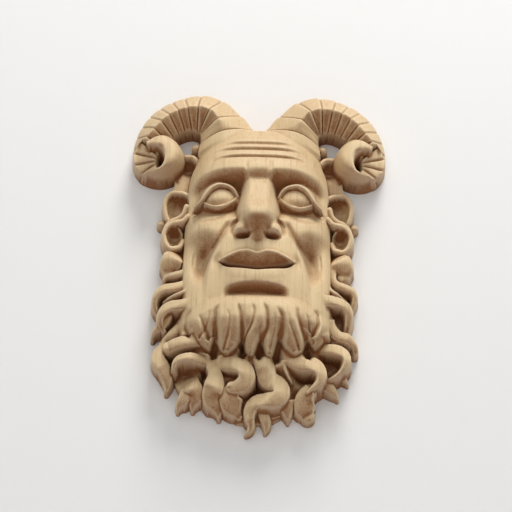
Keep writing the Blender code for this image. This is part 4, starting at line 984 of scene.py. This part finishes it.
def chisel_marks_group():
    """Shallow facets left by the gouge, and fine crossed file marks on steep slopes, as one height."""
    group, tree, given, result = node_group(
        "chisel_marks",
        (("Place", "Vector", None), ("Slope", "Float", 0.0)),
        (("Height", "Float", None),),
    )
    place = given.outputs["Place"]
    facets = tree.feed(tree.add("ShaderNodeTexVoronoi", feature="SMOOTH_F1"), {
        "Vector": tree.stretched(place, GOUGE_FACETS), "Smoothness": 0.35})
    height = tree.math("MULTIPLY", facets.outputs["Distance"], FACET_SHARE)
    for turn in (FILE_TURN, -FILE_TURN):
        marks = tree.noise(tree.stretched(place, (1, 1, 1), turn), FILE_MARKS, 1.0, 0.5)
        marks = tree.math("MULTIPLY", marks, given.outputs["Slope"])
        height = tree.math("MULTIPLY_ADD", marks, FILE_SHARE, height)
    tree.feed(result, {"Height": height})
    return group


def carved_wood(settings):
    """The mask's wood: pale upright grain, darkened in hollows and on cross-cut and down-facing slopes by
    stain and painted shade, with a dull wax.
    """
    material, tree, shader = new_material("carved_wood")
    place = tree.add("ShaderNodeTexCoord").outputs["Object"]
    depth = tree.feed(tree.add("ShaderNodeSeparateXYZ"), {0: place}).outputs["Y"]
    before_back = tree.math("MULTIPLY", depth, -1 / BACK_CLEAR, clamp=True)
    # The hollow and end-grain masks darken hollows and down-facing slopes: real stain and painted shade
    # together.
    masks = {}
    for name in ("hollow", "edge", "end_grain_and_shade"):
        mask = tree.add("ShaderNodeAttribute", attribute_name=name).outputs["Fac"]
        masks[name] = tree.math("MULTIPLY", mask, before_back)

    grain = tree.feed(tree.add("ShaderNodeGroup", node_tree=wood_grain_group()), {
        "Place": place, "Pale": (*settings.pale, 1), "Dark": (*settings.dark, 1),
        "Line strength": settings.grain_strength, "End grain": masks["end_grain_and_shade"]}).outputs
    stain_and_shade = tree.feed(tree.add("ShaderNodeGroup", node_tree=stain_and_shade_group()), {
        "Color": grain["Color"], "Place": place, "Hollow": masks["hollow"], "Edge": masks["edge"],
        "End grain": masks["end_grain_and_shade"], "Stain": (*settings.stain_and_shade, 1),
        "Strength": settings.stain_and_shade_strength}).outputs
    marks = tree.feed(tree.add("ShaderNodeGroup", node_tree=chisel_marks_group()), {
        "Place": place, "Slope": masks["end_grain_and_shade"]}).outputs
    rough = tree.math("MULTIPLY_ADD", stain_and_shade["Mask"], STAIN_ROUGHNESS, settings.roughness)
    chisel = tree.bump(CHISEL_STRENGTH, settings.facet_depth, marks["Height"])
    tree.feed(shader, {
        "Base Color": stain_and_shade["Color"], "Specular IOR Level": WAX_SPECULAR,
        "Roughness": tree.math("MULTIPLY_ADD", grain["Pores"], PORE_ROUGHNESS, rough),
        "Normal": tree.bump(FIBRE_STRENGTH, FIBRE_DEPTH, grain["Height"], Normal=chisel)})
    return material


def plain_plaster(name, colour, seen_from_behind):
    """A matt pale surface; where it isn't seen from behind, its back face lets everything through."""
    material, tree, shader = new_material(name)
    tree.feed(shader, {"Base Color": (*colour, 1), "Roughness": 0.9})
    if not seen_from_behind:
        chooser = tree.feed(tree.add("ShaderNodeMixShader"), {
            0: tree.add("ShaderNodeNewGeometry").outputs["Backfacing"], 1: shader.outputs[0],
            2: tree.add("ShaderNodeBsdfTransparent").outputs[0]})
        tree.feed(material.node_tree.nodes["Material Output"], {"Surface": chooser.outputs[0]})
    return material


def flat_sheet(name, corners, material):
    """One flat face of the stage."""
    mesh = bpy.data.meshes.new(name)
    mesh.from_pydata(corners, [], [(0, 1, 2, 3)])
    mesh.materials.append(material)
    sheet = placed(name, mesh)


def soft_light(name, place, size, power, colour):
    """A square soft light turned toward the mask."""
    lamp = bpy.data.lights.new(name, "AREA")
    lamp.size = size
    lamp.energy = power
    lamp.color = colour
    holder = placed(name, lamp)
    holder.location = place
    holder.rotation_euler = (-Vector(place)).to_track_quat("-Z", "Y").to_euler()


def number_setting(name, description, default, low=0.0, high=1.0):
    """A setting that is a plain number."""
    return bpy.props.FloatProperty(name=name, description=description, default=default, min=low,
                                   max=high)


def length_setting(name, description, default):
    """A setting that is a length in metres."""
    return bpy.props.FloatProperty(name=name, description=description, default=default, unit="LENGTH")


def angle_setting(name, description, degrees):
    """A setting that is an angle."""
    return bpy.props.FloatProperty(name=name, description=description, default=math.radians(degrees),
                                   subtype="ANGLE")


def colour_setting(name, description, default):
    """A setting that is a colour."""
    return bpy.props.FloatVectorProperty(name=name, description=description, default=default,
                                         subtype="COLOR", min=0, max=1)


class CarvingSettings(bpy.types.PropertyGroup):
    """Fineness of the carving."""

    cell: number_setting("Grid cell", "Spacing of the carving's grid, in millimetres", 0.4, 0.3, 2.0)
    triangles: bpy.props.IntProperty(
        name="Triangles", description="Triangles left in the finished carving", default=192000, min=9000,
        max=198000)
    strand_depth: number_setting("Strand depth", "Depth of the grooves in each lock, in millimetres", 0.12)
    crease_angle: angle_setting("Crease angle", "Edges sharper than this are shaded as crisp cuts", 75)


class WoodSettings(bpy.types.PropertyGroup):
    """Colours and finish of the wood."""

    pale: colour_setting("Pale wood", "Colour of the wood between its growth lines", (0.74, 0.57, 0.335))
    dark: colour_setting("Grain", "Colour of the growth lines and pores", (0.38, 0.22, 0.095))
    # Stain colour, also used as painted shade in hollows and under down-facing slopes.
    stain_and_shade: colour_setting("Recess stain", "Colour left in hollows and on cross-cut slopes",
                          (0.265, 0.102, 0.032))
    grain_strength: number_setting("Grain strength", "How strongly growth lines and pores show", 0.55)
    stain_and_shade_strength: number_setting("Stain strength", "How strongly recesses are darkened", 1.0)
    roughness: number_setting("Roughness", "Roughness of the waxed wood", 0.52)
    facet_depth: length_setting("Facet depth", "Depth of the gouge's facets", 0.0004)


class StageSettings(bpy.types.PropertyGroup):
    """The wall, lights and camera."""

    wall: colour_setting("Wall", "Colour of the wall and floor", (0.82, 0.818, 0.818))
    from_below: angle_setting("From below", "How far below level the camera looks up from", 20)
    distance: length_setting("Distance", "From the camera to the mask", 1.0)
    roll: angle_setting("Roll", "Lean of the camera", 1.3)
    frame_width: length_setting("Frame width", "Width of the picture at the mask", 0.3533)


class MASK_OT_carve(bpy.types.Operator):
    """Carve the mask and give it its wood"""

    bl_idname = "mask.carve"
    bl_label = "Carve the mask"

    def execute(self, context):
        settings = context.scene.mask_carving
        relief = carve(settings.cell, settings.strand_depth)
        points, triangles = closed_surface(relief)
        mesh = reduced(triangle_mesh("mask_carving_full", points, triangles), settings.triangles)
        mesh.name = "mask_carving"
        paint_masks(mesh, relief)
        mesh.shade_smooth()
        mesh.set_sharp_from_angle(angle=settings.crease_angle)
        mesh.materials.append(carved_wood(context.scene.mask_wood))
        piece = placed("mask_carving", mesh)
        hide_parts("satyr_mask")
        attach(piece, "root")
        return {"FINISHED"}


class MASK_OT_stage(bpy.types.Operator):
    """Set the wall, floor, lights and camera"""

    bl_idname = "mask.stage"
    bl_label = "Set the stage"

    def execute(self, context):
        settings = context.scene.mask_stage
        wall = plain_plaster("pale_wall", settings.wall, seen_from_behind=False)
        floor = plain_plaster("pale_floor", settings.wall, seen_from_behind=True)
        reach = STAGE_REACH
        flat_sheet("wall", ((-reach, WALL_PLACE, FLOOR_LEVEL), (reach, WALL_PLACE, FLOOR_LEVEL),
                            (reach, WALL_PLACE, reach), (-reach, WALL_PLACE, reach)), wall)
        flat_sheet("floor", ((-reach, -reach, FLOOR_LEVEL), (reach, -reach, FLOOR_LEVEL),
                             (reach, reach, FLOOR_LEVEL), (-reach, reach, FLOOR_LEVEL)), floor)

        away = Vector((0, -math.cos(settings.from_below), -math.sin(settings.from_below)))
        lens = bpy.data.cameras.new("camera")
        lens.sensor_width = SENSOR_WIDTH
        lens.angle = 2 * math.atan(settings.frame_width / 2 / settings.distance)
        lens.shift_x = -1.0 / PICTURE_PIXELS
        camera = placed("camera", lens)
        look = (-away).to_track_quat("-Z", "Y").to_matrix()
        camera.rotation_euler = (look @ Matrix.Rotation(settings.roll, 3, "Z")).to_euler()
        camera.location = Vector(CAMERA_AIM) + away * settings.distance
        context.scene.camera = camera

        for name, values in LIGHTS.items():
            soft_light(name, *values)
        world = bpy.data.worlds.new("studio")
        world.use_nodes = True
        room = world.node_tree.nodes["Background"]
        Tree(world.node_tree).feed(room, {"Color": ROOM_COLOUR, "Strength": ROOM_STRENGTH})
        context.scene.world = world
        context.scene.view_settings.view_transform = "Standard"
        return {"FINISHED"}


class MASK_PT_panel(bpy.types.Panel):
    """Sizes, colours and steps of the mask"""

    bl_idname = "MASK_PT_panel"
    bl_label = "Satyr mask"
    bl_space_type = "VIEW_3D"
    bl_region_type = "UI"
    bl_category = "Satyr mask"

    def draw(self, context):
        for title, group, operator in (
            ("Carving", context.scene.mask_carving, MASK_OT_carve),
            ("Wood", context.scene.mask_wood, None),
            ("Stage", context.scene.mask_stage, MASK_OT_stage),
        ):
            box = self.layout.box()
            box.label(text=title)
            for name in group.__annotations__:
                box.prop(group, name)
            if operator:
                box.operator(operator.bl_idname)


CLASSES = (CarvingSettings, WoodSettings, StageSettings, MASK_OT_carve, MASK_OT_stage, MASK_PT_panel)


def register():
    """Adds the classes and the settings to Blender."""
    for each in CLASSES:
        bpy.utils.register_class(each)
    bpy.types.Scene.mask_carving = bpy.props.PointerProperty(type=CarvingSettings)
    bpy.types.Scene.mask_wood = bpy.props.PointerProperty(type=WoodSettings)
    bpy.types.Scene.mask_stage = bpy.props.PointerProperty(type=StageSettings)


def unregister():
    """Takes them away again."""
    for name in ("mask_carving", "mask_wood", "mask_stage"):
        delattr(bpy.types.Scene, name)
    for each in reversed(CLASSES):
        bpy.utils.unregister_class(each)


def main():
    """Makes the mask and its stage."""
    register()
    bpy.ops.mask.carve()
    bpy.ops.mask.stage()
    bpy.context.view_layer.update()


if __name__ == "__main__":
    main()
